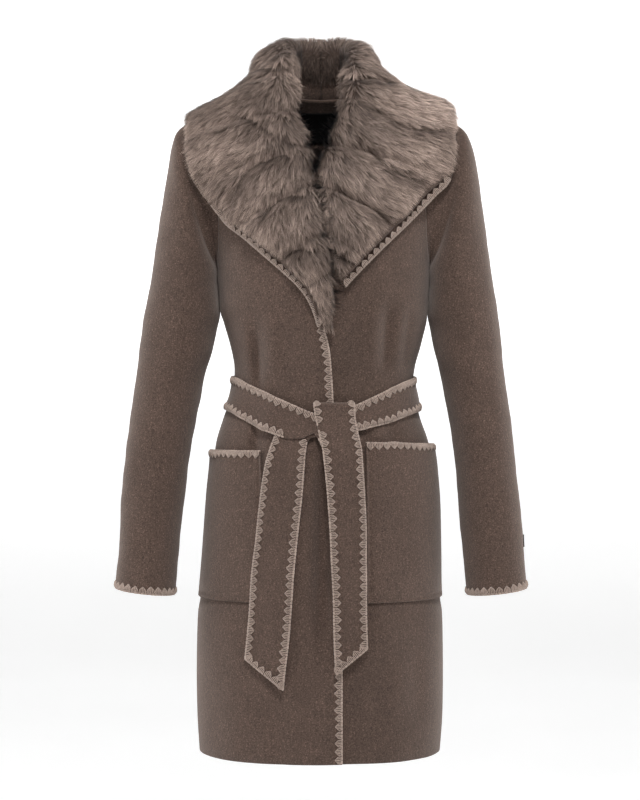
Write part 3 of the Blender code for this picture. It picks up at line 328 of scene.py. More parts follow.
# fuller parts of the fur: side, section, share from the neck to the edge, reach of both, height
FUR_SWELLS = np.array([
    (-1, 2.3, 0.52, 0.8, 0.09, 0.011), (1, 2.4, 0.47, 0.8, 0.09, 0.006),
    (-1, 4, 0.76, 0.9, 0.18, -0.0055), (1, 4, 0.74, 0.9, 0.18, -0.0065)])
# lighter and darker parts of the hair seen from the front, partly the fur's own tone and partly painted
# light and shade, such as the lit top of the collar: x, z, reach in mm, gain in hundredths
LEFT_TONES_AND_PAINTED_LIGHT = np.array([
    (128, -20, 36, 115), (85, 0, 24, 45), (150, -52, 20, 15), (52, 28, 24, 30), (30, -22, 12, -20),
    (50, -38, 14, -40), (120, -85, 34, 30), (36, -86, 14, -22), (100, -150, 26, 10), (22, -190, 16, -25),
    (50, -160, 12, -15), (56, -210, 22, 5), (66, -115, 22, 30), (36, -205, 18, -36)
]) / [1000, 1000, 1000, 100]
RIGHT_TONES_AND_PAINTED_LIGHT = np.array([
    (-170, -52, 24, 22), (-78, -20, 18, -42), (-66, 30, 24, 25), (-40, 0, 12, 12), (-120, -40, 28, 12),
    (-48, -55, 14, -20), (-100, -80, 22, -12), (-140, -90, 26, 12), (-64, -125, 22, 5),
    (-16, -185, 12, -20), (-58, -185, 20, 8), (-6, -250, 20, 15), (-10, -268, 20, 25),
    (-78, -140, 26, -16), (-36, -205, 22, -24), (-62, 20, 20, 35)
]) / [1000, 1000, 1000, 100]
# per side: section where the fur draws back for the edging, grooves and how strong they are, ways,
# tones with painted light and shade, gain of lightness
FUR_SIDES = {-1: (8.4, RIGHT_GROOVES, 0.90, RIGHT_WAYS, RIGHT_TONES_AND_PAINTED_LIGHT, 0.93),
             1: (7.2, LEFT_GROOVES, 1.25, LEFT_WAYS, LEFT_TONES_AND_PAINTED_LIGHT, 1.04)}

# belt cross lines: upper or left edge x, z, lower or right edge x, z, height of its middle
TAIL_UNDER = np.array([
    (-960, -7560, -480, -7940, 62), (-905, -7050, -405, -7200, 62), (-862, -6400, -340, -6420, 62),
    (-790, -5800, -280, -5800, 62), (-725, -5245, -224, -5246, 60), (-640, -4860, -200, -4870, 54),
    (-580, -4680, -160, -4730, 48), (-450, -4530, -50, -4690, 48), (-240, -4450, 120, -4665, 48),
    (20, -4400, 300, -4640, 48), (240, -4345, 420, -4620, 48), (450, -4285, 510, -4610, 46),
    (600, -4215, 640, -4570, 34)
]) / TENTHS
# waist loop: turn around the body from the front middle in tenths of a milliradian, upper z,
# lower z, height
WAIST = np.array([
    (6000, -4135, -4525, 24), (8500, -4030, -4450, 27), (11500, -3950, -4385, 27),
    (14500, -3910, -4355, 27), (17500, -3890, -4340, 27), (21000, -3870, -4320, 27),
    (25000, -3855, -4305, 27), (29000, -3850, -4300, 27), (33832, -3850, -4300, 27),
    (37832, -3855, -4305, 27), (41832, -3870, -4320, 27), (45332, -3890, -4335, 27),
    (48332, -3900, -4340, 27), (51332, -3930, -4370, 27), (54332, -4030, -4460, 24)
]) / TENTHS
OVER_PASS = np.array([
    (-700, -4120, -820, -4560, 40), (-560, -4190, -680, -4630, 74), (-330, -4300, -520, -4695, 79),
    (-60, -4415, -400, -4725, 79), (140, -4480, -260, -4725, 79), (310, -4560, -85, -4650, 79),
    (390, -4670, -10, -4750, 79)
]) / TENTHS
TURN_UNDER = (0.0400, 0.0000, -0.4760, 0.0079, 0.0017)
BEHIND = np.array([
    (400, -4580, 0, -4580, 17), (405, -4420, -30, -4420, 17)
]) / TENTHS
TURN_OVER = (0.0410, -0.0090, -0.4310, 0.0017, 0.0113)
TAIL_OVER = np.array([
    (415, -4450, -70, -4440, 113), (460, -4700, -10, -4680, 108), (490, -4880, 30, -4865, 107),
    (505, -5060, 50, -5050, 90), (530, -5350, 80, -5340, 70), (560, -6000, 120, -6000, 62),
    (570, -6820, 155, -6820, 62), (580, -7350, 175, -7500, 62), (582, -7420, 195, -7740, 62)
]) / TENTHS

# x, z of two corners of the place beside the knot where the belt's lower edge goes without edging
KNOT_BARE = np.array([(-0.046, -0.4765), (-0.003, -0.456)])

STAND_PLACES = np.linspace(0, 1, 5)[:-1]
ROLL_PLACES = 1 + np.linspace(0, 1, 13)[:-1]
FALL_PLACES = 2 + np.linspace(0, 1, 23)
COLLAR_PLACES = np.concatenate([STAND_PLACES, ROLL_PLACES, FALL_PLACES])

# outer and inner face of each cloth piece made so far
made = {}


def follow(xs, ys, q):
    """Shape-keeping cubic through the points (xs, ys), read at q; xs run upward."""
    xs = np.asarray(xs, float)
    ys = np.asarray(ys, float)
    flat = ys.ndim == 1
    if flat:
        ys = ys[:, None]
    q = np.clip(np.asarray(q, float), xs[0], xs[-1])
    step = np.diff(xs)[:, None]
    rise = np.diff(ys, axis=0) / step
    slope = np.zeros_like(ys)
    both = rise[:-1] * rise[1:]
    total = np.where(np.abs(rise[:-1] + rise[1:]) < 1e-12, 1.0, rise[:-1] + rise[1:])
    slope[1:-1] = np.where(both > 0, 2.0 * both / total, 0.0)
    slope[0] = rise[0]
    slope[-1] = rise[-1]
    i = np.clip(np.searchsorted(xs, q, side="right") - 1, 0, len(xs) - 2)
    h = (xs[i + 1] - xs[i])[..., None]
    t = (q - xs[i])[..., None] / h
    out = ((1 + 2 * t) * (1 - t) ** 2 * ys[i] + t * (1 - t) ** 2 * h * slope[i]
           + t * t * (3 - 2 * t) * ys[i + 1] + t * t * (t - 1) * h * slope[i + 1])
    return out[..., 0] if flat else out


def down(table, column, z):
    """Column of a table whose first column is z, highest first."""
    return follow(-table[:, 0], table[:, column], -np.asarray(z, float))


def ramp(value, start, end):
    """Smooth rise from 0 at start to 1 at end."""
    t = np.clip((value - start) / (end - start), 0.0, 1.0)
    return t * t * (3 - 2 * t)


def bell(v):
    """Bell curve, 1 at 0 and about a third at 1."""
    return np.exp(-v ** 2)


def unit(v):
    """Vectors brought to length 1."""
    return v / np.maximum(np.linalg.norm(v, axis=-1, keepdims=True), 1e-12)


def soft_noise(point, size, seed, waves=7):
    """Smooth unevenness between about -1 and 1 over points, with hills about size apart."""
    rng = np.random.default_rng(seed)
    total = np.zeros(point.shape[:-1])
    for _ in range(waves):
        way = unit(rng.normal(size=3)) * 2 * np.pi / (size * rng.uniform(1.2, 2.6))
        total = total + np.sin(point @ way + rng.uniform(0, 2 * np.pi))
    return total / math.sqrt(waves / 2) / 1.6


def shoulder_height(x):
    """Height of the shoulder line over x."""
    return SHOULDER_SLOPE * (np.hypot(NECK_SIDE, CENTRE_ROUND) - np.hypot(x, CENTRE_ROUND))


def folds(side, x, z, table=FOLDS):
    """Outward push of the soft folds."""
    push = np.zeros(np.broadcast(x, z).shape)
    for fold_side, x0, top, low, lean, width, height in table:
        if fold_side != side:
            continue
        middle = x0 + lean * (0.5 * (top + low) - z)
        length = top - low
        fade = ramp(-z, -top, -top + 0.35 * length)
        if low > HEM_Z:
            fade = fade * (1 - ramp(-z, -low - 0.35 * length, -low))
        push = push + height * fade * bell((x - middle) / width)
    return push


def turn_at(x, z):
    """Turn around the section, 0 in the middle and a quarter turn at the side seam."""
    share = np.clip((x - down(SECTIONS, 2, z)) / down(SECTIONS, 1, z), -1.0, 1.0)
    return np.sign(share) * np.arcsin(np.abs(share) ** (SHARPNESS / 2))


def dip(x):
    """How far the left front lies below the right front."""
    return UNDERLAP_DIP * (1 - ramp(x, 0.038, 0.085))


def body(side, turn, z, left=0.0, own=0.0):
    """Outer face of the coat; left is 1 where the left front's own face is wanted.

    own is 1 for the panels themselves, which also have the cloth's own sharper folds."""
    turn, z = np.broadcast_arrays(np.asarray(turn, float), np.asarray(z, float))
    sine, cosine = np.sin(turn), np.abs(np.cos(turn))
    x = down(SECTIONS, 2, z) + down(SECTIONS, 1, z) * np.sign(sine) * np.abs(sine) ** (2 / SHARPNESS)
    deep = down(SECTIONS, 3 if side < 0 else 4, z)
    share = np.clip((shoulder_height(x) - z) / SHOULDER_ROUND, 0.0, 1.0)
    y = deep * cosine ** (2 / SHARPNESS) * np.sqrt(np.clip(2 * share - share ** 2, 0, 1))
    y = y + folds(side, x, z) * np.minimum(1.0, 1.6 * cosine) - left * dip(x)
    place = np.stack([x, 0.4 * side + 0.0 * x, 0.6 * z], -1)
    uneven = 0.0008 * soft_noise(place, 0.045, 11) + 0.00035 * soft_noise(place, 0.018, 12)
    y = y + uneven * np.minimum(1.0, 1.6 * cosine) * ramp(share, 0.25, 0.9)
    y = y + own * folds(side, x, z, CLOTH_FOLDS) * np.minimum(1.0, 1.6 * cosine)
    return np.stack([x, side * y, z], -1)


def lifted(side, turn, z, lift, left=0.0):
    """Point of the coat's face at a turn and height, moved out by lift."""
    turn, z, lift = np.broadcast_arrays(np.asarray(turn, float), np.asarray(z, float),
                                        np.asarray(lift, float))
    e = 1e-4
    turned = body(side, turn + e, z, left) - body(side, turn - e, z, left)
    raised = body(side, turn, z + e, left) - body(side, turn, z - e, left)
    out = unit(np.cross(turned, raised)) * (-1.0 if side > 0 else 1.0)
    return body(side, turn, z, left) + out * lift[..., None]


def on_body(side, x, z, lift=0.0, left=0.0):
    """Point over the coat's outer face at x, z, moved out by lift."""
    return lifted(side, turn_at(x, z), z, lift, left)


def slopes(grid, axis, loop=False):
    """Differences along one axis of a grid of points, one-sided at its ends."""
    g = np.moveaxis(grid, axis, 0)
    if loop:
        d = np.roll(g, -1, 0) - np.roll(g, 1, 0)
    else:
        d = np.empty_like(g)
        d[1:-1] = g[2:] - g[:-2]
        if len(g) > 2:
            d[0] = -3 * g[0] + 4 * g[1] - g[2]
            d[-1] = 3 * g[-1] - 4 * g[-2] + g[-3]
        else:
            d[0] = d[-1] = g[1] - g[0]
    return np.moveaxis(d, 0, axis)


def rings_out(rings):
    """Unit vectors pointing out of a tube of rings."""
    out = faces_out(rings, True)
    return -out if (out[30] * (rings[30] - rings[30].mean(0))).sum() < 0 else out


def faces_out(grid, loop=False):
    """Unit vectors square to a grid of points (rows, columns)."""
    return unit(np.cross(slopes(grid, 0), slopes(grid, 1, loop)))


def level_z(row, x, drop):
    """Height of a panel row over x; drop is the least drop below the shoulder line."""
    first = np.arccos(1 - np.clip(drop / SHOULDER_ROUND, 0, 1))
    angle = first + (np.pi / 2 - first) * np.clip(row / SHOULDER_ROWS, 0, 1)
    rounded = shoulder_height(x) - SHOULDER_ROUND * (1 - np.cos(angle))
    share = np.clip((row - SHOULDER_ROWS) / (ARMHOLE_ROWS - SHOULDER_ROWS), 0, 1)
    upper = (1 - share) * rounded + share * ARMPIT_Z
    levels = np.concatenate([[ARMPIT_Z], LOWER_ROWS])
    lower = follow(ARMHOLE_ROWS + np.arange(len(levels)), levels, np.maximum(row, ARMHOLE_ROWS))
    return np.where(row <= ARMHOLE_ROWS, upper, lower)


def side_edge(side, row, mirror):
    """x and z where rows meet the armhole or the side seam."""
    x = np.full(row.shape, 0.150 * mirror)
    for _ in range(40):
        z = level_z(row, x, 0.0)
        reach = np.where(row < ARMHOLE_ROWS, down(ARMHOLE, 1 if side < 0 else 2, z),
                         down(SECTIONS, 1, z))
        x = down(SECTIONS, 2, z) + mirror * reach
    return x, level_z(row, x, 0.0)


def back_drop(x):
    """Drop of the back panel's top edge below the shoulder line."""
    z = follow(BACK_NECK[:, 0], BACK_NECK[:, 1], np.abs(x))
    return np.where(np.abs(x) < NECK_SIDE, np.maximum(shoulder_height(x) - z, 0.0), 0.0)


def panel_rows():
    return np.linspace(0, PANEL_ROWS - 1, PANEL_FINE * (PANEL_ROWS - 1) + 1)


def front_panel(mirror):
    """Grid of one front from its armhole and side seam to its front edge; mirror 1 is the left."""
    rows = panel_rows()
    x_out, z_out = side_edge(-1, rows, mirror)
    x_in = np.zeros(len(rows))
    for _ in range(60):
        z_in = level_z(rows, x_in, 0.0)
        x_in = 0.5 * x_in + 0.5 * down(FRONT_EDGES, 2 if mirror > 0 else 1, z_in)
    a = np.where(rows >= ARMHOLE_ROWS, mirror * np.pi / 2, turn_at(x_out, z_out))
    b = turn_at(x_in, z_in)
    share = np.linspace(0, 1, FRONT_COLUMNS)
    turn = a[:, None] + (b - a)[:, None] * share
    z = z_out[:, None] + (z_in - z_out)[:, None] * share
    for _ in range(24):
        z = level_z(rows[:, None], body(-1, turn, z)[..., 0], 0.0)
    return body(-1, turn, z, 1.0 if mirror > 0 else 0.0, 1.0)


def back_panel():
    rows = panel_rows()
    x_out, z_out = side_edge(1, rows, 1)
    x_other, z_other = side_edge(1, rows, -1)
    low = rows >= ARMHOLE_ROWS
    a = np.where(low, np.pi / 2, turn_at(x_out, z_out))
    b = np.where(low, -np.pi / 2, turn_at(x_other, z_other))
    turn = a[:, None] + (b - a)[:, None] * np.linspace(0, 1, BACK_COLUMNS + 1)
    z = np.repeat(z_out[:, None], BACK_COLUMNS + 1, 1)
    for _ in range(24):
        x = body(1, turn, z)[..., 0]
        z = level_z(rows[:, None], x, back_drop(x))
    return body(1, turn, z, 0.0, 1.0)


def panel_faces(grid, side, ends):
    """Outer and inner face of a panel, with its shoulder and side seams all but shut."""
    first_low = PANEL_FINE * ARMHOLE_ROWS
    out = faces_out(grid)
    if (out[len(grid) // 2, 3:-3, 1] * side).mean() < 0:
        out = -out
    x = grid[0, :, 0]
    seam = np.abs(x) >= NECK_SIDE - 0.004
    slope = SHOULDER_SLOPE * x / np.hypot(x, CENTRE_ROUND)
    up = unit(np.stack([slope, np.zeros_like(x), np.ones_like(x)], -1))
    out[0] = np.where(seam[:, None], up, out[0])
    for column in ends:
        out[first_low:, column, 1] = 0.0
    out = unit(out)
    outer = grid.copy()
    half = 0.5 * SEWN_GAP
    outer[0, :, 1] = np.where(seam, side * np.maximum(side * outer[0, :, 1], half), outer[0, :, 1])
    for column in ends:
        low = side * outer[first_low:, column, 1]
        outer[first_low:, column, 1] = side * np.maximum(low, half)
    return outer, outer - CLOTH * out


def off_edge(faces, column, step):
    """Armhole edge of a panel's two faces, moved off the panel by a seam's gap, and its direction."""
    outer, inner = faces
    last = PANEL_FINE * ARMHOLE_ROWS + 1
    edge = outer[:last, column]
    thick = unit(edge - inner[:last, column])
    away = unit(np.cross(slopes(edge[:, None], 0)[:, 0], thick))
    near = last // 2
    if np.dot(away[near], edge[near] - outer[near, column + step]) < 0:
        away = -away
    return edge + ARM_GAP * away, inner[:last, column] + ARM_GAP * away, away


def ring(front, back):
    """Joins a front and a back armhole edge into one ring from the shoulder round the front."""
    top = 0.5 * (front[0] + back[0])
    low = 0.5 * (front[-1] + back[-1])
    return np.concatenate([[top], front[1:-1], [low], back[1:-1][::-1]])


def sleeve_faces(mirror, front, back):
    """Grid faces of one sleeve; its first ring follows the armhole just off both panels."""
    edges = zip(off_edge(front, 0, 1), off_edge(back, 0 if mirror > 0 else -1,
                                                1 if mirror > 0 else -1))
    first, first_inner, away = [ring(f, b) for f, b in edges]
    count = len(first)
    angle = 2 * np.pi * np.arange(count) / count
    rings = []
    for out_x, out_z, in_x, in_z, y, deep, right_out, right_in in SLEEVE:
        if mirror < 0:
            out_x, in_x = right_out, right_in
        middle = np.array([0.5 * (out_x + in_x) * mirror, y, 0.5 * (out_z + in_z)])
        reach = np.array([0.5 * (out_x - in_x) * mirror, 0.0, 0.5 * (out_z - in_z)])
        rings.append(middle + np.cos(angle)[:, None] * reach
                     - np.sin(angle)[:, None] * np.array([0, deep, 0]))
    between = 0.5 * (first + rings[0]) + SEAM_ARCH * (unit(away) - unit(rings[1] - rings[0]))
    rings = np.array([first, between] + rings)
    place = np.concatenate([np.linspace(0, 2, 11)[:-1],
                            np.linspace(2, len(rings) - 1, SLEEVE_ROWS)])
    grid = follow(np.arange(len(rings)), rings.reshape(len(rings), -1), place)
    grid = grid.reshape(len(place), count, 3)
    out = rings_out(grid)
    turn = np.arange(count)[None, :] / count
    push = np.zeros(grid.shape[:2])
    for side, z0, where, slope, wide, long, height in SLEEVE_DRAPES:
        if side and side != mirror:
            continue
        off = (turn - where + 0.5) % 1.0 - 0.5
        push = push + (height * bell((grid[..., 2] - z0 - slope * off * 0.3) / wide)
                       * bell(off / long))
    uneven = 0.0010 * soft_noise(grid * [1, 1, 0.6], 0.05, 21 + mirror)
    uneven = uneven + 0.0004 * soft_noise(grid, 0.02, 31 + mirror)
    fade = ramp(place, 2.0, 6.0)[:, None] * (1 - ramp(place, 15.0, 16.0))[:, None]
    # the inner side hangs close to the body, so it stays as smooth as the solid's
    clear = 1 - bell((turn - 0.5) / 0.13) * (1 - ramp(place, 7.0, 9.0))[:, None]
    # under the arm its fullness rests on the body's side
    under = ARM_FULL * bell((grid[..., 2] - ARM_FULL_Z) / ARM_FULL_REACH)
    under = under * ramp(place, 0.5, 2.0)[:, None]
    resting = under * bell((turn - 0.5) / ARM_FULL_TURN)
    grid = grid + ((push + uneven) * fade * clear + resting)[..., None] * out
    out = rings_out(grid)
    inner = grid - CLOTH * out
    inner[0] = first_inner
    return grid, inner


def collar_rows(table, mirror, place):
    """Foot, roll middle, edge and other values of the collar at each place along it."""
    left = 1.0 if mirror > 0 else 0.0
    roll, radius, edge = table[:, 0:3].copy(), table[:, 3], table[:, 4:7].copy()
    foot = np.zeros_like(roll)
    for i in range(len(table)):
        if edge[i, 1] == ON / TENTHS:
            edge[i] = on_body(-1, edge[i, 0], edge[i, 2], EDGE_LIFT, left)
        if roll[i, 1] == ON / TENTHS:
            lift = 0.5 * CLOTH + SEAM + radius[i]
            roll[i] = on_body(-1, roll[i, 0], roll[i, 2], lift, left)
        if i < len(NECK_FOOT):
            x, z, side = NECK_FOOT[i]
            foot[i] = on_body(side, x * mirror, z, FOOT_LIFT, left if side < 0 else 0.0)
        else:
            along = unit((edge[i] - roll[i])[[0, 2]])
            lap = min(LAP, 0.45 * np.linalg.norm(edge[i] - roll[i]))
            foot[i] = on_body(-1, roll[i, 0] + lap * along[0], roll[i, 2] + lap * along[1],
                              0.5 * CLOTH + SEAM, left)
    every = np.concatenate([foot, roll, edge, table[:, [3, 7, 8]]], 1)
    values = follow(np.arange(len(table)), every, place)
    return (values[:, 0:3], values[:, 3:6], values[:, 6:9], values[:, 9], values[:, 10],
            values[:, 11])


def inside(point, lift):
    """Whether points lie within the coat's body grown by lift."""
    x, y, z = point[..., 0], point[..., 1], point[..., 2]
    share = (x - down(SECTIONS, 2, z)) / (down(SECTIONS, 1, z) + lift)
    drop = np.clip((shoulder_height(x) + lift - z) / SHOULDER_ROUND, 0.0, 1.0)
    round_off = np.sqrt(np.clip(2 * drop - drop ** 2, 0, 1))
    across = np.clip(1 - np.abs(share) ** SHARPNESS, 0, 1) ** (1 / SHARPNESS)
    front = (down(SECTIONS, 3, z) * round_off * across + folds(-1, x, z) + lift) * (y < 0)
    back = (down(SECTIONS, 4, z) * round_off * across + folds(1, x, z) + lift) * (y >= 0)
    return (np.abs(y) < front + back) & (np.abs(share) < 1) & (drop > 0)


def laid_over(point, over):
    """Points of the collar pushed along over until they clear the coat's body."""
    need = inside(point, FALL_CLEAR)
    low = np.zeros(point.shape[:-1])
    high = np.full(point.shape[:-1], MOST_PUSH)
    for _ in range(20):
        middle = 0.5 * (low + high)
        hit = inside(point + middle[..., None] * over, FALL_CLEAR)
        low = np.where(hit, middle, low)
        high = np.where(hit, high, middle)
    return np.where(need[..., None], point + high[..., None] * over, point)


def dots(a, b):
    """Dot products of vectors."""
    return np.einsum("...k,...k->...", a, b)


def collar_grid(foot, roll, edge, radius, bulge, where):
    """Points of the collar sections at places 0 foot, 1 to 2 round the roll, 3 edge."""
    along = unit(edge - roll)
    arm = foot - roll
    over = -unit(arm - dots(arm, along)[:, None] * along)
    p = np.stack([dots(arm, along), dots(arm, over)], -1)
    length = np.linalg.norm(edge - roll, axis=-1)
    near = np.linalg.norm(p, axis=-1)
    start = np.arctan2(p[:, 1], p[:, 0]) - np.arccos(np.minimum(1.0, radius / near))
    end = -2 * np.pi + np.arccos(np.minimum(1.0, radius / length))

    def on_roll(angle):
        size = radius if angle.ndim == 1 else radius[:, None]
        return size[..., None] * np.stack([np.cos(angle), np.sin(angle)], -1)

    begin, finish = on_roll(start), on_roll(end)
    t = where[None, :]
    q_foot = p[:, None] + (begin - p)[:, None] * t[..., None]
    q_roll = on_roll(start[:, None] + (end - start)[:, None] * (t - 1))
    s = t - 2
    tip = np.stack([length, 0 * length], -1)
    q_fall = finish[:, None] + (tip - finish)[:, None] * s[..., None]
    q_fall[..., 1] += bulge[:, None] * 6.75 * s * (1 - s) ** 2
    q = np.where((t < 1)[..., None], q_foot, np.where((t < 2)[..., None], q_roll, q_fall))
    point = roll[:, None] + q[..., :1] * along[:, None] + q[..., 1:] * over[:, None]
    pushed = laid_over(point, np.broadcast_to(over[:, None], point.shape))
    return np.where((t > 2)[..., None], pushed, point)


def collar_lines(table):
    last = len(table) - 1
    return np.linspace(0, last, COLLAR_FINE * last + 1)


def collar_faces(table, mirror):
    """Wool collar with its lapel: outer (turned) face and inner face."""
    foot, roll, edge, radius, bulge, _ = collar_rows(table, mirror, collar_lines(table))
    grid = collar_grid(foot, roll, edge, radius, bulge, COLLAR_PLACES)
    grid[0, :, 0] = mirror * 0.5 * SEAM
    out = faces_out(grid)
    if np.dot(out[2, -3], grid[2, -3] - grid[2, 0]) < 0:
        out = -out
    out[0, :, 0] = 0.0
    out = unit(out)
    return grid + 0.5 * CLOTH * out, grid - 0.5 * CLOTH * out


def fur_form(table, mirror, collar):
    """The fur's base on the wool collar, its outward directions, its height and where each point is.

    Rows run along the collar and columns from the neck side over the roll to the outer edge."""
    last = len(table) - 1
    place = collar_lines(table)
    start = follow(FUR_START[:, 0], FUR_START[:, 1], place)
    _, roll, edge, _, _, thick = collar_rows(table, mirror, place)
    turned_face, under_face = collar
    upward = unit(turned_face - under_face)
    margin = FUR_BACK_MARGIN + (FUR_MARGIN[mirror] - FUR_BACK_MARGIN) * ramp(place, 6.0, 8.0)
    share = np.concatenate([np.linspace(0, FUR_TURN, 19)[:-1], np.linspace(FUR_TURN, 1, 36)])
    puff = np.ones((len(place), len(share)))
    for side, at_roll, at_edge, wide, depth in FUR_GROOVES:
        if side == mirror:
            line = at_roll + (at_edge - at_roll) * ramp(share, 0.2, 1.0)
            puff = puff * (1 - depth * bell((place[:, None] - line) / wide))
    tail = 1 - 0.55 * ramp(place, last - 1.2, last)
    profile = 0.62 + 0.38 * ramp(share, 0.25, 0.55)
    profile = profile * np.sqrt(np.clip(1 - (np.abs(share - 0.5) / 0.5) ** 6, 0.05, 1))
    base = np.zeros((len(place), len(share), 3))
    out = np.zeros_like(base)
    gap = np.zeros(base.shape[:2])
    for i in range(len(place)):
        finish = 3 - margin[i] / max(np.linalg.norm(edge[i] - roll[i]), 0.02)
        where = np.where(share < FUR_TURN, start[i] + (2 - start[i]) * share / FUR_TURN,
                         2 + (finish - 2) * (share - FUR_TURN) / (1 - FUR_TURN))
        for k in range(3):
            base[i, :, k] = np.interp(where, COLLAR_PLACES, turned_face[i, :, k])
            out[i, :, k] = np.interp(where, COLLAR_PLACES, upward[i, :, k])
        corner = bell((place[i] - 3.2) / 1.3)
        gap[i] = FUR_GAP + FUR_CORNER_GAP * corner * (1 - ramp(where, 1.0, 1.6))
    out = unit(out)
    rise = (thick * tail)[:, None] * puff * profile[None, :]
    lobe = bell((place - LOBE_AT) / LOBE_REACH)[:, None] * ramp(share, 0.62, 0.92)[None, :]
    rise = rise * (1 + LOBE_GAIN[mirror] * lobe)
    base = base + gap[..., None] * out
    return base, out, rise, place, share


def pocket_faces(mirror):
    """Patch pocket moved out from the front, standing off a little along its open top."""
    inner_top, inner_low, top_z, fall = POCKETS[mirror]
    near = np.array([0, .004, .010, .017, .025, .034, .045, .060])
    v = np.r_[near, np.linspace(0.08, 0.92, 44), 1 - near[::-1]][:, None]
    u = np.r_[near, np.linspace(0.09, 0.91, 30), 1 - near[::-1]][None, :]
    top = top_z - fall * u
    z = top + (POCKET_FOOT_Z - top) * v
    x_in = inner_top + (inner_low - inner_top) * v
    start = turn_at(x_in + 0.0 * z, z)
    turn = start + (mirror * POCKET_SIDE_TURN - start) * u
    gape = POCKET_GAPE * (1 - ramp(v, 0.0, 0.35)) * (0.4 + 0.6 * u)
    # the cloth sinks a little where it is sewn down along its sides and foot
    sewn = np.minimum(np.minimum(u, 1 - u) * 0.145, (1 - v) * 0.20)
    sink = SINK * bell((sewn - SINK_AT) / SINK_REACH) * ramp(v, 0.0, 0.03)
    lift = POCKET_LIFT + gape - sink + 0.0 * turn
    left = 1.0 if mirror > 0 else 0.0
    return lifted(-1, turn, z, lift + CLOTH, left), lifted(-1, turn, z, lift, left)


def turned(row, low):
    """Half circle of cross lines; row is edge x, other edge x, z, height before and after."""
    x_a, x_b, z, before, after = row
    radius = 0.5 * abs(before - after)
    rows = []
    for angle in np.linspace(0, np.pi, 14):
        z_now = z - radius * np.sin(angle) * (1 if low else -1)
        lift = 0.5 * (before + after) + 0.5 * (before - after) * np.cos(angle)
        rows.append((x_a, z_now, x_b, z_now, lift))
    return np.array(rows)


def resample(table, count):
    """More cross lines through the rows of a table, evenly numbered."""
    return follow(np.arange(len(table)), table, np.linspace(0, len(table) - 1, count))


def belt_faces():
    """The whole band: hanging end, under the knot, round the waist, over and through, other end."""
    across = np.linspace(0, 1, BELT_COLUMNS)

    def front(table):
        x = table[:, 0:1] + (table[:, 2:3] - table[:, 0:1]) * across
        z = table[:, 1:2] + (table[:, 3:4] - table[:, 1:2]) * across
        return on_body(-1, x, z, table[:, 4:5] + 0.0 * x)

    places = np.linspace(WAIST[0, 0], WAIST[-1, 0], 54 * BELT_FINE)[:, None]
    high, low, lift = np.moveaxis(follow(WAIST[:, 0], WAIST[:, 1:], places), -1, 0)
    z = high + (low - high) * across
    waist = np.where((places < np.pi / 2)[..., None], lifted(-1, places + 0 * z, z, lift),
                     np.where((places < 3 * np.pi / 2)[..., None],
                              lifted(1, np.pi - places + 0 * z, z, lift),
                              lifted(-1, places - 2 * np.pi + 0 * z, z, lift)))
    over = np.concatenate([resample(OVER_PASS, 9 * BELT_FINE), turned(TURN_UNDER, True)[1:],
                           resample(BEHIND, 4), turned(TURN_OVER, False)[1:],
                           resample(TAIL_OVER, 14 * BELT_FINE)])
    line = np.concatenate([front(resample(TAIL_UNDER, 19 * BELT_FINE)), waist, front(over)])
    keep = np.r_[True, np.linalg.norm(np.diff(line[:, BELT_COLUMNS // 2], axis=0), axis=1) > 5e-4]
    line = line[keep]
    out = faces_out(line)
    if out[120].dot(line[120].mean(0) * np.array([1, 1, 0])).mean() < 0:
        out = -out
    return line + 0.5 * BELT_CLOTH * out, line - 0.5 * BELT_CLOTH * out


def label_faces():
    """Bare label lying on the inner face of the back, below the neck."""
    z = np.linspace(*LABEL_Z, 22)[:, None]
    x = np.linspace(*LABEL_X, 32)[None, :]
    return (on_body(1, x, z, -(CLOTH + LABEL_GAP)),
            on_body(1, x, z, -(CLOTH + LABEL_GAP + LABEL_CLOTH)))


def tab_faces(outer):
    """Small flat tab on the outer side of the left sleeve, made from the sleeve's own points."""
    count = outer.shape[1]
    z = outer[:, 0, 2]
    rows = [int(np.argmin(np.abs(z - level))) for level in np.linspace(*TAB_Z, 5)]
    columns = [k % count for k in range(-1, 2)]
    grid = outer[np.ix_(rows, columns)]
    middle = grid[:, 1:2]
    grid = middle + (grid - middle) * 1.1
    away = unit(np.array([1.0, 0.0, 0.13]))
    near = grid + TAB_GAP * away
    return near + LABEL_CLOTH * away, near


class Nodes:
    """Adds and links the nodes of one tree."""

    def __init__(self, tree):
        self.tree = tree

    def feed(self, socket, value):
        """Links a socket to an input, or sets the input to a plain value."""
        if hasattr(value, "is_output"):
            self.tree.links.new(value, socket)
        else:
            socket.default_value = value

    def add(self, kind, feeds=None, **settings):
        """New node; feeds gives a socket or a value for inputs by name or number."""
        node = self.tree.nodes.new(kind)
        for name, value in settings.items():
            setattr(node, name, value)
        for key, value in (feeds or {}).items():
            self.feed(node.inputs[key], value)
        return node

    def value(self, kind, a, b, **settings):
        """Result of a math node on two sockets or numbers."""
        return self.add("ShaderNodeMath", {0: a, 1: b}, operation=kind, **settings).outputs[0]


